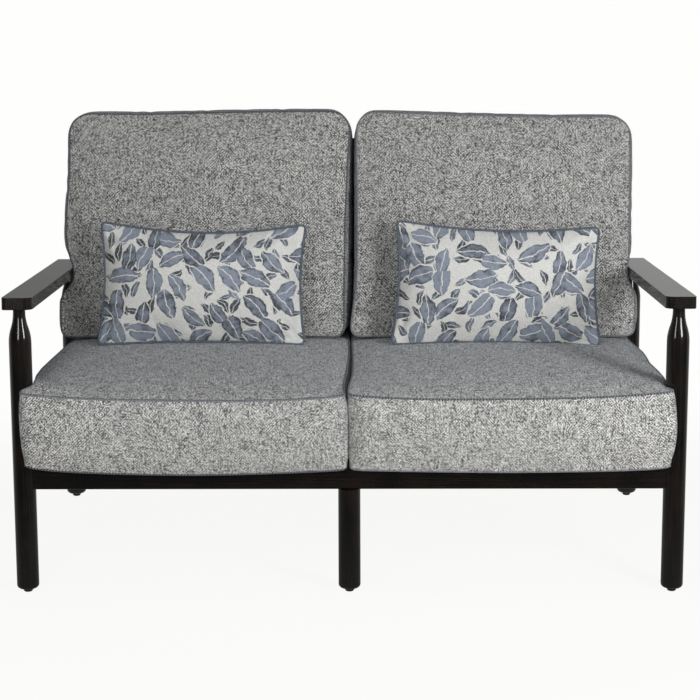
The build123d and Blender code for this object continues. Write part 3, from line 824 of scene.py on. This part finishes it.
# Seat cushions: boxed, with the front hanging a little over the rail, ears past the front legs and
# the sides swelling behind them. "swell" gives how far the outer side stands past its straight
# line, in mm, by the decimetres behind the leg, and "mound" the rise of the top beside that leg.
# "seam" and "innerBulge" give the inner side from the front (v = -1) to the rear (v = 1): where
# its top seam runs and how far the boxing swells past it
seatLook = {
    "body": "seat_cushion",
    "cloth": tweed,
    "cells": (80, 84, 18),
    "topRadius": (18 * mm, 24 * mm),
    "lowRadius": (16 * mm, 24 * mm),
    "seamInset": 11 * mm,
    "boxing": 150 * mm,
    "bulge": {"front": 10 * mm, "rear": 8.5 * mm, "side": 12 * mm, "atLeg": 10 * mm},
    "crown": 14 * mm,
    "frontSag": 12 * mm,
    "innerLift": 1 * mm,
    "lowSeamShare": 0.73,
    "lowEdgeRise": 3.5 * mm,
    "earFrom": (14 * mm, 30 * mm),
    "earBoxingFrom": (10 * mm, 30 * mm),
    "legBell": 30 * mm,
    "legGap": 1.5 * mm,
    # Room above the seam's level, under the back cushion and in front of it, and where that starts
    "roomUnderBack": 10.5 * mm,
    "roomInFront": 30 * mm,
    "underBack": (60 * mm, 120 * mm),
    "deckGap": 0.3 * mm,
    "padding": 0.8,
    "keptOnLift": 0.98,
    "seed": 11,
    "welts": {"top": (-0.9 * mm, (2.0 * mm, 2.6 * mm)), "low": (-0.4 * mm, (1.7 * mm, 2.0 * mm))},
}
seatSides = {
    "left": {
        "side": -1, "inner": 3 * mm, "ear": 671 * mm, "base": 643 * mm, "earBulge": 7 * mm,
        "cornerRise": 11 * mm, "bottomHang": 10 * mm, "outerLift": 8 * mm, "lowEar": 6 * mm,
        "uvStart": (0.113, 0.071),
        "mound": {"rise": 15 * mm, "width": 66 * mm, "behind": 2 * mm, "rimStart": 0.84},
        "swell": ((0, 3), (0.4, 8), (0.85, 15), (1.4, 22), (2.15, 23), (3.1, 18), (4, 12), (5, 5),
                  (6, 0)),
        "seam": ((-1, 4), (-0.86, 11), (-0.7, 12), (-0.43, 8.4), (-0.12, 4), (0.22, 2), (0.65, 3),
                 (1, 3)),
        "innerBulge": ((-1, 1.5), (-0.8, 4), (-0.6, 2), (-0.12, 1), (1, 1)),
    },
    "right": {
        "side": 1, "inner": 3 * mm, "ear": 661 * mm, "base": 642 * mm, "earBulge": 12 * mm,
        "cornerRise": 14 * mm, "bottomHang": 5 * mm, "outerLift": 5 * mm, "lowEar": 3 * mm,
        "uvStart": (1.377, 0.529),
        "mound": {"rise": 4 * mm, "width": 120 * mm, "behind": 20 * mm, "rimStart": 0.82},
        "swell": ((0, 2), (0.4, 12), (0.6, 15), (1.03, 17), (1.8, 16.5), (2.6, 12), (3.3, 15),
                  (3.8, 15), (4.4, 10), (5, 4), (6, 0)),
        "seam": ((-1, -2.5), (-0.74, -0.4), (-0.43, 6.5), (-0.12, 7.5), (0.22, 6.8), (0.65, 3.4),
                 (1, 3)),
        "innerBulge": ((-1, -1.5), (-0.74, -1), (-0.43, 1), (1, 1)),
    },
}
seatFill = {
    "stiffness": 12.0, "bending": 0.6, "spareCloth": 0.012, "pressure": 2.0, "steps": 20,
    "cap": 6 * mm,
}


def pushPastLegs(points):
    # A point inside a front leg's clearance circle moves straight out from the leg's middle
    clear = legRadius + seatLook["legGap"]
    for side in (-1, 1):
        middle = np.array([side * legX, legY])
        fromLeg = points[:, :2] - middle
        reach = np.linalg.norm(fromLeg, axis=1, keepdims=True)
        away = np.where(reach < clear, fromLeg / np.maximum(reach, 1e-6) * clear, fromLeg)
        points[:, :2] = middle + away
    return points


def makeSeatCushion(sideName, sideLook):
    side = sideLook["side"]
    coverLow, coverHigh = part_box("seat_cushion_cover_" + sideName)
    base = coverLow.z
    seamHeight = base + seatLook["boxing"]
    bRange = (coverLow.y + seatLook["seamInset"], coverHigh.y - seatLook["seamInset"])
    bulges = seatLook["bulge"]

    def topHeight(u, v):
        # The seam's level, with the corners risen towards the front, a mound beside the leg, the
        # front's middle sagging, and a crown of (1 - |u|^2.4)(1 - |v|^2.4)
        front = (1 - v) / 2
        outer = (1 + u) / 2
        corner = sideLook["cornerRise"] * front ** 2 * (0.6 + 0.4 * outer)
        a = sideLook["inner"] + (sideLook["base"] - sideLook["inner"]) * outer
        b = bRange[0] + (bRange[1] - bRange[0]) * (1 + v) / 2
        mound = sideLook["mound"]
        fromLeg = np.hypot(a - (legX - legRadius), b - (legY + mound["behind"]))
        rim = 1 - smoothStep(-v, mound["rimStart"], 1.0)
        corner = corner + mound["rise"] * bell(fromLeg, 0, mound["width"]) * rim
        sag = -seatLook["frontSag"] * (1 - np.abs(u) ** 3) * front ** 6
        crown = seatLook["crown"] * (1 - np.abs(u) ** 2.4) * (1 - np.abs(v) ** 2.4)
        return seamHeight + corner + sag + crown

    def lowHeight(u, v, a, b):
        # Flat on the deck, with its edge a little up, and in front of the rail hanging in the
        # middle and lifted at the sides
        edge = np.maximum(np.abs(u), np.abs(v)) ** 24
        front = smoothStep(-b, -railFrontY - 2 * mm, -bRange[0])
        hang = -sideLook["bottomHang"] * (1 - np.abs(u) ** 1.6) * front
        lift = (sideLook["outerLift"] * np.maximum(u, 0) ** 8
                + seatLook["innerLift"] * np.maximum(-u, 0) ** 14)
        flat = base + 0.4 * mm + seatLook["lowEdgeRise"] * edge * (1 - front)
        return flat + hang + lift * front

    def innerSeam(u, v):
        return (readTable(sideLook["seam"], v) - sideLook["inner"]) * nearSide(u, -1)

    def topShift(u, v, a, b):
        # The outer side goes out by the swell, and past the leg to the ear's end
        swell = readTable(sideLook["swell"], (b - legY) / (100 * mm))
        past = smoothStep(legY - b, *seatLook["earFrom"])
        outer = swell + (sideLook["ear"] - sideLook["base"] - swell) * past
        return a + outer * nearSide(u, 1) + innerSeam(u, v), b

    def lowShift(u, v, a, b):
        newA, newB = topShift(u, v, a, b)
        past = smoothStep(legY - b, *seatLook["earFrom"])
        ear = sideLook["lowEar"] * nearSide(u, 1) * past
        return newA - seatLook["lowSeamShare"] * innerSeam(u, v) - ear, newB

    def bulge(u, v):
        inner, outer, rear = nearRim(-u), nearRim(u), nearRim(v)
        depth = bRange[0] + (bRange[1] - bRange[0]) * (1 + v) / 2 - legY
        past = smoothStep(-depth, *seatLook["earBoxingFrom"])
        side = (bulges["side"] + (sideLook["earBulge"] - bulges["side"]) * past
                - bulges["atLeg"] * bell(depth, 0, seatLook["legBell"]))
        middle = bulges["front"] - (bulges["front"] - bulges["rear"]) * rear
        return (middle * (1 - inner) * (1 - outer) + readTable(sideLook["innerBulge"], v) * inner
                + side * outer)

    look = {**seatLook, "a": (sideLook["inner"], sideLook["base"]), "b": bRange,
            "topHeight": topHeight, "lowHeight": lowHeight, "topShift": topShift,
            "lowShift": lowShift, "bulge": bulge, "uvStart": sideLook["uvStart"],
            "seed": seatLook["seed"] + side}
    place = {"side": side, "origin": (0, 0, 0), "axes": np.eye(3)}
    piece, held, seams = boxedCushion("SeatCushion" + sideName.title(), look, place)
    inflate(piece, held, seatFill)
    points = pushPastLegs(readPoints(piece))
    underBack = smoothStep(points[:, 1], *seatLook["underBack"])
    ceiling = seamHeight + seatLook["roomUnderBack"] + (1 - underBack) * seatLook["roomInFront"]
    points[:, 2] = np.minimum(points[:, 2], ceiling)
    onDeck = np.maximum(points[:, 2], base + seatLook["deckGap"])
    points[:, 2] = np.where(points[:, 1] > railFrontY - 3 * mm, onDeck, points[:, 2])
    writePoints(piece, points)
    finishCushion(piece, seams, place, sideName, look)


for sideName, sideLook in seatSides.items():
    makeSeatCushion(sideName, sideLook)
print("seat cushions made")


# Back cushions: the same make, leaning on the frame and pinched between the arms. "top" gives the
# rise of the top seam from the inner side (u = -1) to the outer; "seam" and "innerBulge" the inner
# side from the bottom (v = -1) to the top, as for the seat; "below", "above" and "high" how far
# the outer side stands out below the arm, over it and near the top
backLook = {
    "body": "back_cushion",
    "cloth": backTweed,
    "cells": (80, 68, 20),
    "topRadius": (24 * mm, 45 * mm),
    "lowRadius": (24 * mm, 42 * mm),
    "seamInset": 11 * mm,
    "boxing": 165 * mm,
    "bulge": {"everywhere": 1 * mm, "notUnder": 9 * mm},
    "crown": 36 * mm,
    "cornerDrop": 2 * mm,
    "lowEdgeRise": 3.5 * mm,
    "highFrom": (270 * mm, 110 * mm),
    "aboveReach": 95 * mm,
    "belowReach": 60 * mm,
    "armCrossingY": 0.2,
    "seatGap": 0.6 * mm,
    "footRound": 3 * mm,
    "padding": 0.7,
    "keptOnLift": 0.935,
    "liftAnchor": 70 * mm,
    "seed": 31,
    "welts": {"top": (0.0 * mm, (1.9 * mm, 2.3 * mm)), "low": (-0.6 * mm, (1.7 * mm, 2.0 * mm))},
}
backSides = {
    "left": {
        "side": -1, "inner": 0.5 * mm, "outer": 642 * mm, "above": 13.5 * mm, "high": 6 * mm,
        "below": 25 * mm, "uvStart": (2.211, 0.317),
        "top": ((-1, 1.5), (-0.5, 1.2), (0, -1.5), (0.5, -5), (0.8, -3), (1, -4)),
        "seam": ((-1, 14.5), (-0.42, 13.7), (0, 11.7), (0.43, 7), (0.8, 0.5), (1, 0.5)),
        "innerBulge": ((-1, 4), (-0.7, 5), (-0.42, 6.5), (0, 6.5), (0.43, 5), (0.8, 2), (1, 3)),
    },
    "right": {
        "side": 1, "inner": 13.5 * mm, "outer": 642 * mm, "above": 1.5 * mm, "high": 4.5 * mm,
        "below": 13 * mm, "uvStart": (3.149, 0.893),
        "top": ((-1, 0), (-0.5, -5), (0, -10.5), (0.5, -14.2), (0.8, -13), (1, -13)),
        "seam": ((-1, 0), (-0.85, 2), (-0.6, 13), (-0.4, 16), (0, 17), (0.5, 15.5), (1, 15)),
        "innerBulge": ((-1, 0), (-0.7, 0), (-0.5, 1), (1, 1)),
    },
}
backFill = {
    "stiffness": 12.0, "bending": 0.6, "spareCloth": 0.012, "pressure": 1.6, "steps": 20,
    "cap": 6 * mm,
}
# The arm is a sloping plank; the cloth stays clear of it, and rolls back out over and under it
# and behind its rear end
armLook = {
    "thickness": 25 * mm,
    "gap": 1.5 * mm,
    "rollOut": (13 * mm, 74 * mm),
    "behind": (4 * mm, 30 * mm),
    "room": 40 * mm,
    "softness": 3 * mm,
}


def armMiddle(y):
    # Height of the arm's middle line at a depth, between the ends of its box
    thickness = armLook["thickness"]
    slope = (armHigh.z - armLow.z - thickness) / (armHigh.y - armLow.y)
    return armHigh.z - thickness / 2 - (y - armLow.y) * slope


def pinchBetweenArms(points):
    fromArm = np.abs(points[:, 2] - armMiddle(points[:, 1]))
    clearOfArm = smoothStep(fromArm, *armLook["rollOut"])
    start, end = armLook["behind"]
    behind = smoothStep(points[:, 1], armHigh.y + start, armHigh.y + end)
    room = armLow.x - armLook["gap"] + armLook["room"] * clearOfArm + armLook["room"] * behind
    limited = softLimit(np.abs(points[:, 0]), room, armLook["softness"])
    points[:, 0] = np.sign(points[:, 0]) * limited
    return points


def makeBackCushion(sideName, sideLook):
    side = sideLook["side"]
    place = {"side": side, "origin": (0, backFootY, railTop), "axes": (across, upLean, outLean)}
    depth = backLook["boxing"]
    low, high = localBox("back_cushion_cover_" + sideName, place)
    rear = low[2]
    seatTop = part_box("back_cushion_cover_" + sideName)[0].z
    bottomB = (seatTop - railTop - depth * math.sin(leanAngle)) / math.cos(leanAngle)
    bRange = (bottomB + 1 * mm, high[1] - backLook["seamInset"])
    armHeight = armMiddle(backLook["armCrossingY"])
    armB = (armHeight - railTop - depth * math.sin(leanAngle)) / math.cos(leanAngle)

    def topHeight(u, v):
        # The front panel: a crown of (1 - |u|^2.2)(1 - |v|^2.2), its corners set a little back
        crown = backLook["crown"] * (1 - np.abs(u) ** 2.2) * (1 - np.abs(v) ** 2.2)
        return rear + depth + crown - backLook["cornerDrop"] * np.abs(u * v)

    def lowHeight(u, v, a, b):
        edge = np.maximum(np.abs(u), np.abs(v)) ** 24
        return rear + 0.5 * mm + backLook["lowEdgeRise"] * edge

    def innerSeam(u, v):
        return (readTable(sideLook["seam"], v) - sideLook["inner"]) * nearSide(u, -1)

    def topShift(u, v, a, b):
        start, end = backLook["highFrom"]
        high = smoothStep(b, bRange[1] - start, bRange[1] - end)
        above = sideLook["above"] + (sideLook["high"] - sideLook["above"]) * high
        above = above * smoothStep(b, armB, armB + backLook["aboveReach"])
        below = sideLook["below"] * smoothStep(-b, -armB, backLook["belowReach"] - armB)
        rise = readTable(sideLook["top"], u) * ((1 + v) / 2) ** 4
        return a + (above + below) * nearSide(u, 1) + innerSeam(u, v), b + rise

    def lowShift(u, v, a, b):
        # The rear panel has a straight inner side, and its foot is level with the front one's
        newA, newB = topShift(u, v, a, b)
        sinkBack = (depth - 4 * mm) * math.tan(leanAngle) * ((1 - v) / 2) ** 6
        return newA - innerSeam(u, v), newB + sinkBack

    def bulge(u, v):
        inner, under = nearRim(-u), nearRim(-v)
        bulges = backLook["bulge"]
        return (bulges["notUnder"] * (1 - inner) * (1 - under) + bulges["everywhere"] * (1 - inner)
                + readTable(sideLook["innerBulge"], v) * inner)

    look = {**backLook, "a": (sideLook["inner"], sideLook["outer"]), "b": bRange,
            "topHeight": topHeight, "lowHeight": lowHeight, "topShift": topShift,
            "lowShift": lowShift, "bulge": bulge, "uvStart": sideLook["uvStart"],
            "seed": backLook["seed"] + side}
    piece, held, seams = boxedCushion("BackCushion" + sideName.title(), look, place)
    inflate(piece, held, backFill)
    points = pinchBetweenArms(readPoints(piece))
    floorZ = seatTop + backLook["seatGap"]
    soft = backLook["footRound"]
    points[:, 2] = floorZ + soft * np.logaddexp(0, (points[:, 2] - floorZ) / soft)
    writePoints(piece, points)
    finishCushion(piece, seams, place, sideName, look)


for sideName, sideLook in backSides.items():
    makeBackCushion(sideName, sideLook)
print("back cushions made")


# Lumbar pillows: two crowned faces sewn edge to edge with a piping between, corners drawn out to
# dog ears, and the free sides drawn in: the ends, the bottom and the top by their own amounts.
# "corners" moves each corner across and up, in mm: bottom left and right, then top left and right
pillowLook = {
    "cells": (84, 56),
    "thickness": 112 * mm,
    "fullness": 0.62,
    "rearShare": 0.96,
    "drawnEnds": 12 * mm,
    "drawnBottom": 7 * mm,
    "cornerRadius": 12 * mm,
    "creaseDepth": 2.2 * mm,
    "creaseAt": (60 * mm, 45 * mm),
    "creaseTurns": 11,
    "pipingRadius": 2.6 * mm,
    "pipingOut": 1.2 * mm,
    "rearUvStart": (0.6, 0.2),
    "padding": 0.75,
    "seed": 51,
}
pillowSides = {
    "left": {"side": -1, "corners": ((-9, 2), (5, 1), (-2, 6), (8, -2)), "drawnTop": 23 * mm,
             "uvStart": (0.31, 0.77)},
    "right": {"side": 1, "corners": ((-14, 1), (4, -3), (-1, 7), (4, -9)), "drawnTop": 17 * mm,
              "uvStart": (1.93, 1.41)},
}
pillowFill = {
    "stiffness": 10.0, "bending": 0.25, "spareCloth": 0.02, "pressure": 2.5, "steps": 20,
    "cap": 6 * mm,
}


def pillowOutline(width, height, sideLook):
    # A rounded rectangle whose sides draw in by 1 - t^2, so that the corners stand out from them
    look = pillowLook
    u, v, a, b = roundedPanel((-width / 2, width / 2), (-height / 2, height / 2),
                              (look["cornerRadius"],) * 2, *look["cells"])
    drawn = look["drawnBottom"] + (sideLook["drawnTop"] - look["drawnBottom"]) * (1 + v) / 2
    a = a - u * look["drawnEnds"] * (1 - v ** 2)
    b = b - v * drawn * (1 - u ** 2)
    shares = [(1 - u) * (1 - v) / 4, (1 + u) * (1 - v) / 4, (1 - u) * (1 + v) / 4,
              (1 + u) * (1 + v) / 4]
    for share, (moveA, moveB) in zip(shares, sideLook["corners"]):
        a = a + share * moveA * mm
        b = b + share * moveB * mm
    return u, v, a, b


def cornerCreases(u, v, width, height, seed):
    # Creases that fan out from each corner: a sine of the direction in which the corner lies,
    # deepest in a ring round it
    look = pillowLook
    random = np.random.default_rng(seed)
    ripple = np.zeros_like(u)
    for cornerU, cornerV in ((-1, -1), (1, -1), (-1, 1), (1, 1)):
        spread = np.arctan2((v - cornerV) * height, (u - cornerU) * width)
        far = np.hypot((u - cornerU) * width / 2, (v - cornerV) * height / 2)
        wave = np.sin(spread * look["creaseTurns"] + random.random() * 6)
        ripple += wave * look["creaseDepth"] * bell(far, *look["creaseAt"])
    return ripple


def makePillow(sideName, sideLook):
    look = pillowLook
    nodeName = "lumbar_pillow_" + sideName
    place = {"side": 1, "origin": (0, backFootY, railTop), "axes": (across, upLean, outLean)}
    low, high = localBox(nodeName, place)
    middle = (low + high) / 2
    width, height = high[0] - low[0], high[1] - low[1]
    u, v, a, b = pillowOutline(width, height, sideLook)
    rim = rimOrder(*look["cells"])
    onRim = np.zeros(u.shape, bool)
    onRim[rim[:, 0], rim[:, 1]] = True
    inner = ~onRim
    # Loft: (1 - u^2)(1 - v^2) to a power under 1, so the edge is steep and full
    half = look["thickness"] / 2
    loft = ((1 - u ** 2) * (1 - v ** 2)) ** look["fullness"]
    creases = cornerCreases(u, v, width, height, look["seed"] + sideLook["side"])
    frontC = half * loft + np.where(onRim, 0, creases)
    backC = -half * loft * look["rearShare"]
    frontPoints = np.stack([a, b, frontC], -1).reshape(-1, 3)
    backPoints = np.stack([a, b, backC], -1)[inner]
    points = np.concatenate([frontPoints, backPoints]) + np.array([0, middle[1], middle[2]])
    points[:, 0] += abs(middle[0]) * sideLook["side"]
    # The rear face shares the front one's rim
    backIndex = np.arange(u.size).reshape(u.shape)
    backIndex[inner] = u.size + np.arange(inner.sum())
    front = gridQuads(*u.shape)
    back = backIndex.ravel()[front][:, ::-1]
    flat = np.stack([a, b], -1).reshape(-1, 2)
    uvs = np.concatenate([flat[front], flat[front][:, ::-1] + np.array(look["rearUvStart"])])
    seam = np.concatenate([onRim.ravel(), np.zeros(inner.sum(), bool)])
    piece = makeMesh("LumbarPillow" + sideName.title(), toWorld(points, place),
                     np.concatenate([front, back]), uvs + np.array(sideLook["uvStart"]), seam)
    inflate(piece, seam, pillowFill)
    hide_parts(nodeName)
    addCushionPiece(piece, nodeName, linen)
    addSubdivision(piece)
    outward = turnNormals(np.stack([a[rim[:, 0], rim[:, 1]], b[rim[:, 0], rim[:, 1]]], 1))
    flatOutward = np.concatenate([outward, np.zeros((len(outward), 1))], 1)
    direction = flatOutward @ np.array(place["axes"])
    path = readPoints(piece)[rim[:, 0] * u.shape[1] + rim[:, 1]]
    path = smoothLoop(smoothLoop(path)) + direction * look["pipingOut"]
    radii = (look["pipingRadius"],) * 2
    tube = closedTube("LumbarPillowPiping" + sideName.title(), path, direction, radii, sides=12)
    addCushionPiece(tube, nodeName, piping)


for sideName, sideLook in pillowSides.items():
    makePillow(sideName, sideLook)
print("lumbar pillows made")


# Floor and studio: a pale sweep that takes a faint shadow, two narrow front softboxes, the right
# one the key, and a broad overhead one. The mirrored values are what a mirror ray meets
studioLook = {
    "backdrop": "#fefefd",
    "floorShare": 0.07,
    "fadeRadius": (0.85, 1.8),
    "fill": 0.10,
    "mirroredFront": 0.03,
    "mirroredLeft": 0.22,
    "mirroredRight": 0.46,
    "mirroredFloor": (0.06, 0.45),
    "turnWidths": (0.2, 0.35),
    "cardEnds": (-0.9, 0.6),
    "floorHalf": 12.0,
    "aim": (0, 0, 0.45),
    "lamps": [
        {"name": "KeyRight", "azimuth": 39, "elevation": 16, "distance": 2.4, "size": (0.47, 0.95),
         "watts": 26.5},
        {"name": "FillLeft", "azimuth": -24, "elevation": 16, "distance": 2.2, "size": (0.35, 0.95),
         "watts": 10},
        {"name": "Overhead", "azimuth": 10, "elevation": 76, "distance": 3.4, "size": (2.4, 1.8),
         "watts": 16},
    ],
}


def backdropRays(tree):
    # Camera, mirror and see-through rays meet the pale backdrop; the rest light the object
    rays = addNode(tree, "LightPath")
    seen = addNode(
        tree, "Math", {0: (rays, "Is Camera Ray"), 1: (rays, "Is Glossy Ray")}, operation="ADD")
    return addNode(tree, "Math", {0: (seen, 0), 1: (rays, "Is Transmission Ray")}, operation="ADD")


def makeFloor():
    material, tree = startMaterial("PaleFloor")
    place = addNode(tree, "TexCoord")
    away = addNode(tree, "VectorMath", {0: (place, "Object")}, operation="LENGTH")
    near, far = studioLook["fadeRadius"]
    share = addNode(tree, "MapRange", {
        0: (away, "Value"), 1: near, 2: far, 3: 1 - studioLook["floorShare"], 4: 1.0,
    }, interpolation_type="SMOOTHSTEP")
    # A mirror ray that meets the floor in front of the object finds it dim, as on a black card
    part = addNode(tree, "SeparateXYZ", {0: (place, "Object")})
    dim, pale = studioLook["mirroredFloor"]
    near, far = studioLook["cardEnds"]
    card = addNode(tree, "MapRange", {0: (part, 1), 1: near, 2: far, 3: dim, 4: pale})
    rays = addNode(tree, "LightPath")
    direct = addNode(tree, "Math", {0: 1.0, 1: (rays, "Is Glossy Ray")}, operation="SUBTRACT")
    strength = addNode(tree, "Math", {0: (rays, "Is Glossy Ray"), 1: (card, 0), 2: (direct, 0)},
                       operation="MULTIPLY_ADD")
    seen = backdropRays(tree)
    factor = addNode(tree, "Math", {0: (seen, 0), 1: (share, 0)}, operation="MULTIPLY")
    grain = addNode(tree, "TexNoise", {"Vector": (place, "Object"), "Scale": 3.0, "Detail": 2.0})
    colour = addNode(
        tree, "Mix", {0: (grain, 0), 6: linearColour("#efede8"), 7: linearColour("#f4f2ed")},
        data_type="RGBA")
    matt = addNode(tree, "BsdfDiffuse", {"Color": (colour, 2)})
    glow = addNode(tree, "Emission", {
        "Color": linearColour(studioLook["backdrop"]), "Strength": (strength, 0)})
    both = addNode(tree, "MixShader", {0: (factor, 0), 1: (matt, 0), 2: (glow, 0)})
    closeMaterial(tree, both)
    half = studioLook["floorHalf"]
    corners = np.array([(-half, -half, 0), (half, -half, 0), (half, half, 0), (-half, half, 0)])
    floor = makeMesh("Floor", corners, np.array([[0, 1, 2, 3]]), corners[None, :, :2])
    floor.data.materials.append(material)


def makeWorld():
    world = bpy.data.worlds.new("Studio")
    bpy.context.scene.world = world
    world.use_nodes = True
    tree = world.node_tree
    tree.nodes.clear()
    place = addNode(tree, "TexCoord")
    part = addNode(tree, "SeparateXYZ", {0: (place, "Generated")})
    rays = addNode(tree, "LightPath")
    # The room behind the camera is dim, so a mirror ray that goes there meets less light
    side, front = studioLook["turnWidths"]
    rear = addNode(tree, "MapRange", {
        0: (part, 0), 1: -side, 2: side, 3: studioLook["mirroredLeft"],
        4: studioLook["mirroredRight"]})
    room = addNode(tree, "MapRange", {
        0: (part, 1), 1: -front, 2: front, 3: studioLook["mirroredFront"], 4: (rear, 0)})
    seen = addNode(tree, "Math", {
        0: (rays, "Is Camera Ray"), 1: (rays, "Is Transmission Ray")}, operation="ADD")
    mirrored = addNode(
        tree, "Math", {0: (rays, "Is Glossy Ray"), 1: (room, 0)}, operation="MULTIPLY")
    shown = addNode(tree, "Math", {0: (seen, 0), 1: (mirrored, 0)}, operation="ADD")
    lit = addNode(tree, "Math", {0: (seen, 0), 1: (rays, "Is Glossy Ray")}, operation="ADD")
    rest = addNode(tree, "Math", {0: 1.0, 1: (lit, 0)}, operation="SUBTRACT")
    strength = addNode(tree, "Math", {
        0: (rest, 0), 1: studioLook["fill"], 2: (shown, 0)}, operation="MULTIPLY_ADD")
    sky = addNode(tree, "Background", {
        "Color": linearColour(studioLook["backdrop"]), "Strength": (strength, 0),
    })
    addNode(tree, "OutputWorld", {"Surface": (sky, 0)})


def makeLamps():
    target = Vector(studioLook["aim"])
    for lamp in studioLook["lamps"]:
        light = bpy.data.lights.new(lamp["name"], "AREA")
        light.shape = "RECTANGLE"
        light.size, light.size_y = lamp["size"]
        light.energy = lamp["watts"]
        holder = bpy.data.objects.new(lamp["name"], light)
        bpy.context.scene.collection.objects.link(holder)
        turn, rise = math.radians(lamp["azimuth"]), math.radians(lamp["elevation"])
        back = Vector((math.sin(turn) * math.cos(rise), -math.cos(turn) * math.cos(rise),
                       math.sin(rise)))
        holder.location = target + back * lamp["distance"]
        holder.rotation_mode = "QUATERNION"
        holder.rotation_quaternion = (-back).to_track_quat("-Z", "Y")


# The camera stands where the photograph was taken from
cameraLook = {
    "place": (27.1 * mm, legY - 3865 * mm, 1351.3 * mm),
    "yaw": -0.3587,
    "pitch": 10.1505,
    "roll": -0.1835,
    "lens": 99.46,
    "shiftY": -0.10,
}


def makeCamera():
    yaw, pitch, roll = [math.radians(cameraLook[key]) for key in ("yaw", "pitch", "roll")]
    forward = Vector((math.sin(yaw) * math.cos(pitch), math.cos(yaw) * math.cos(pitch),
                      -math.sin(pitch)))
    level = Vector((math.cos(yaw), -math.sin(yaw), 0))
    upright = level.cross(forward)
    right = level * math.cos(roll) + upright * math.sin(roll)
    up = upright * math.cos(roll) - level * math.sin(roll)
    data = bpy.data.cameras.new("Camera")
    data.lens = cameraLook["lens"]
    data.sensor_width = 36
    data.shift_y = cameraLook["shiftY"]
    camera = bpy.data.objects.new("Camera", data)
    bpy.context.scene.collection.objects.link(camera)
    turn = Matrix((right, up, -forward)).transposed()
    camera.matrix_world = Matrix.Translation(cameraLook["place"]) @ turn.to_4x4()
    bpy.context.scene.camera = camera


makeFloor()
makeWorld()
makeLamps()
makeCamera()
bpy.context.scene.view_settings.view_transform = "Standard"
print("stage, lamps and camera set")
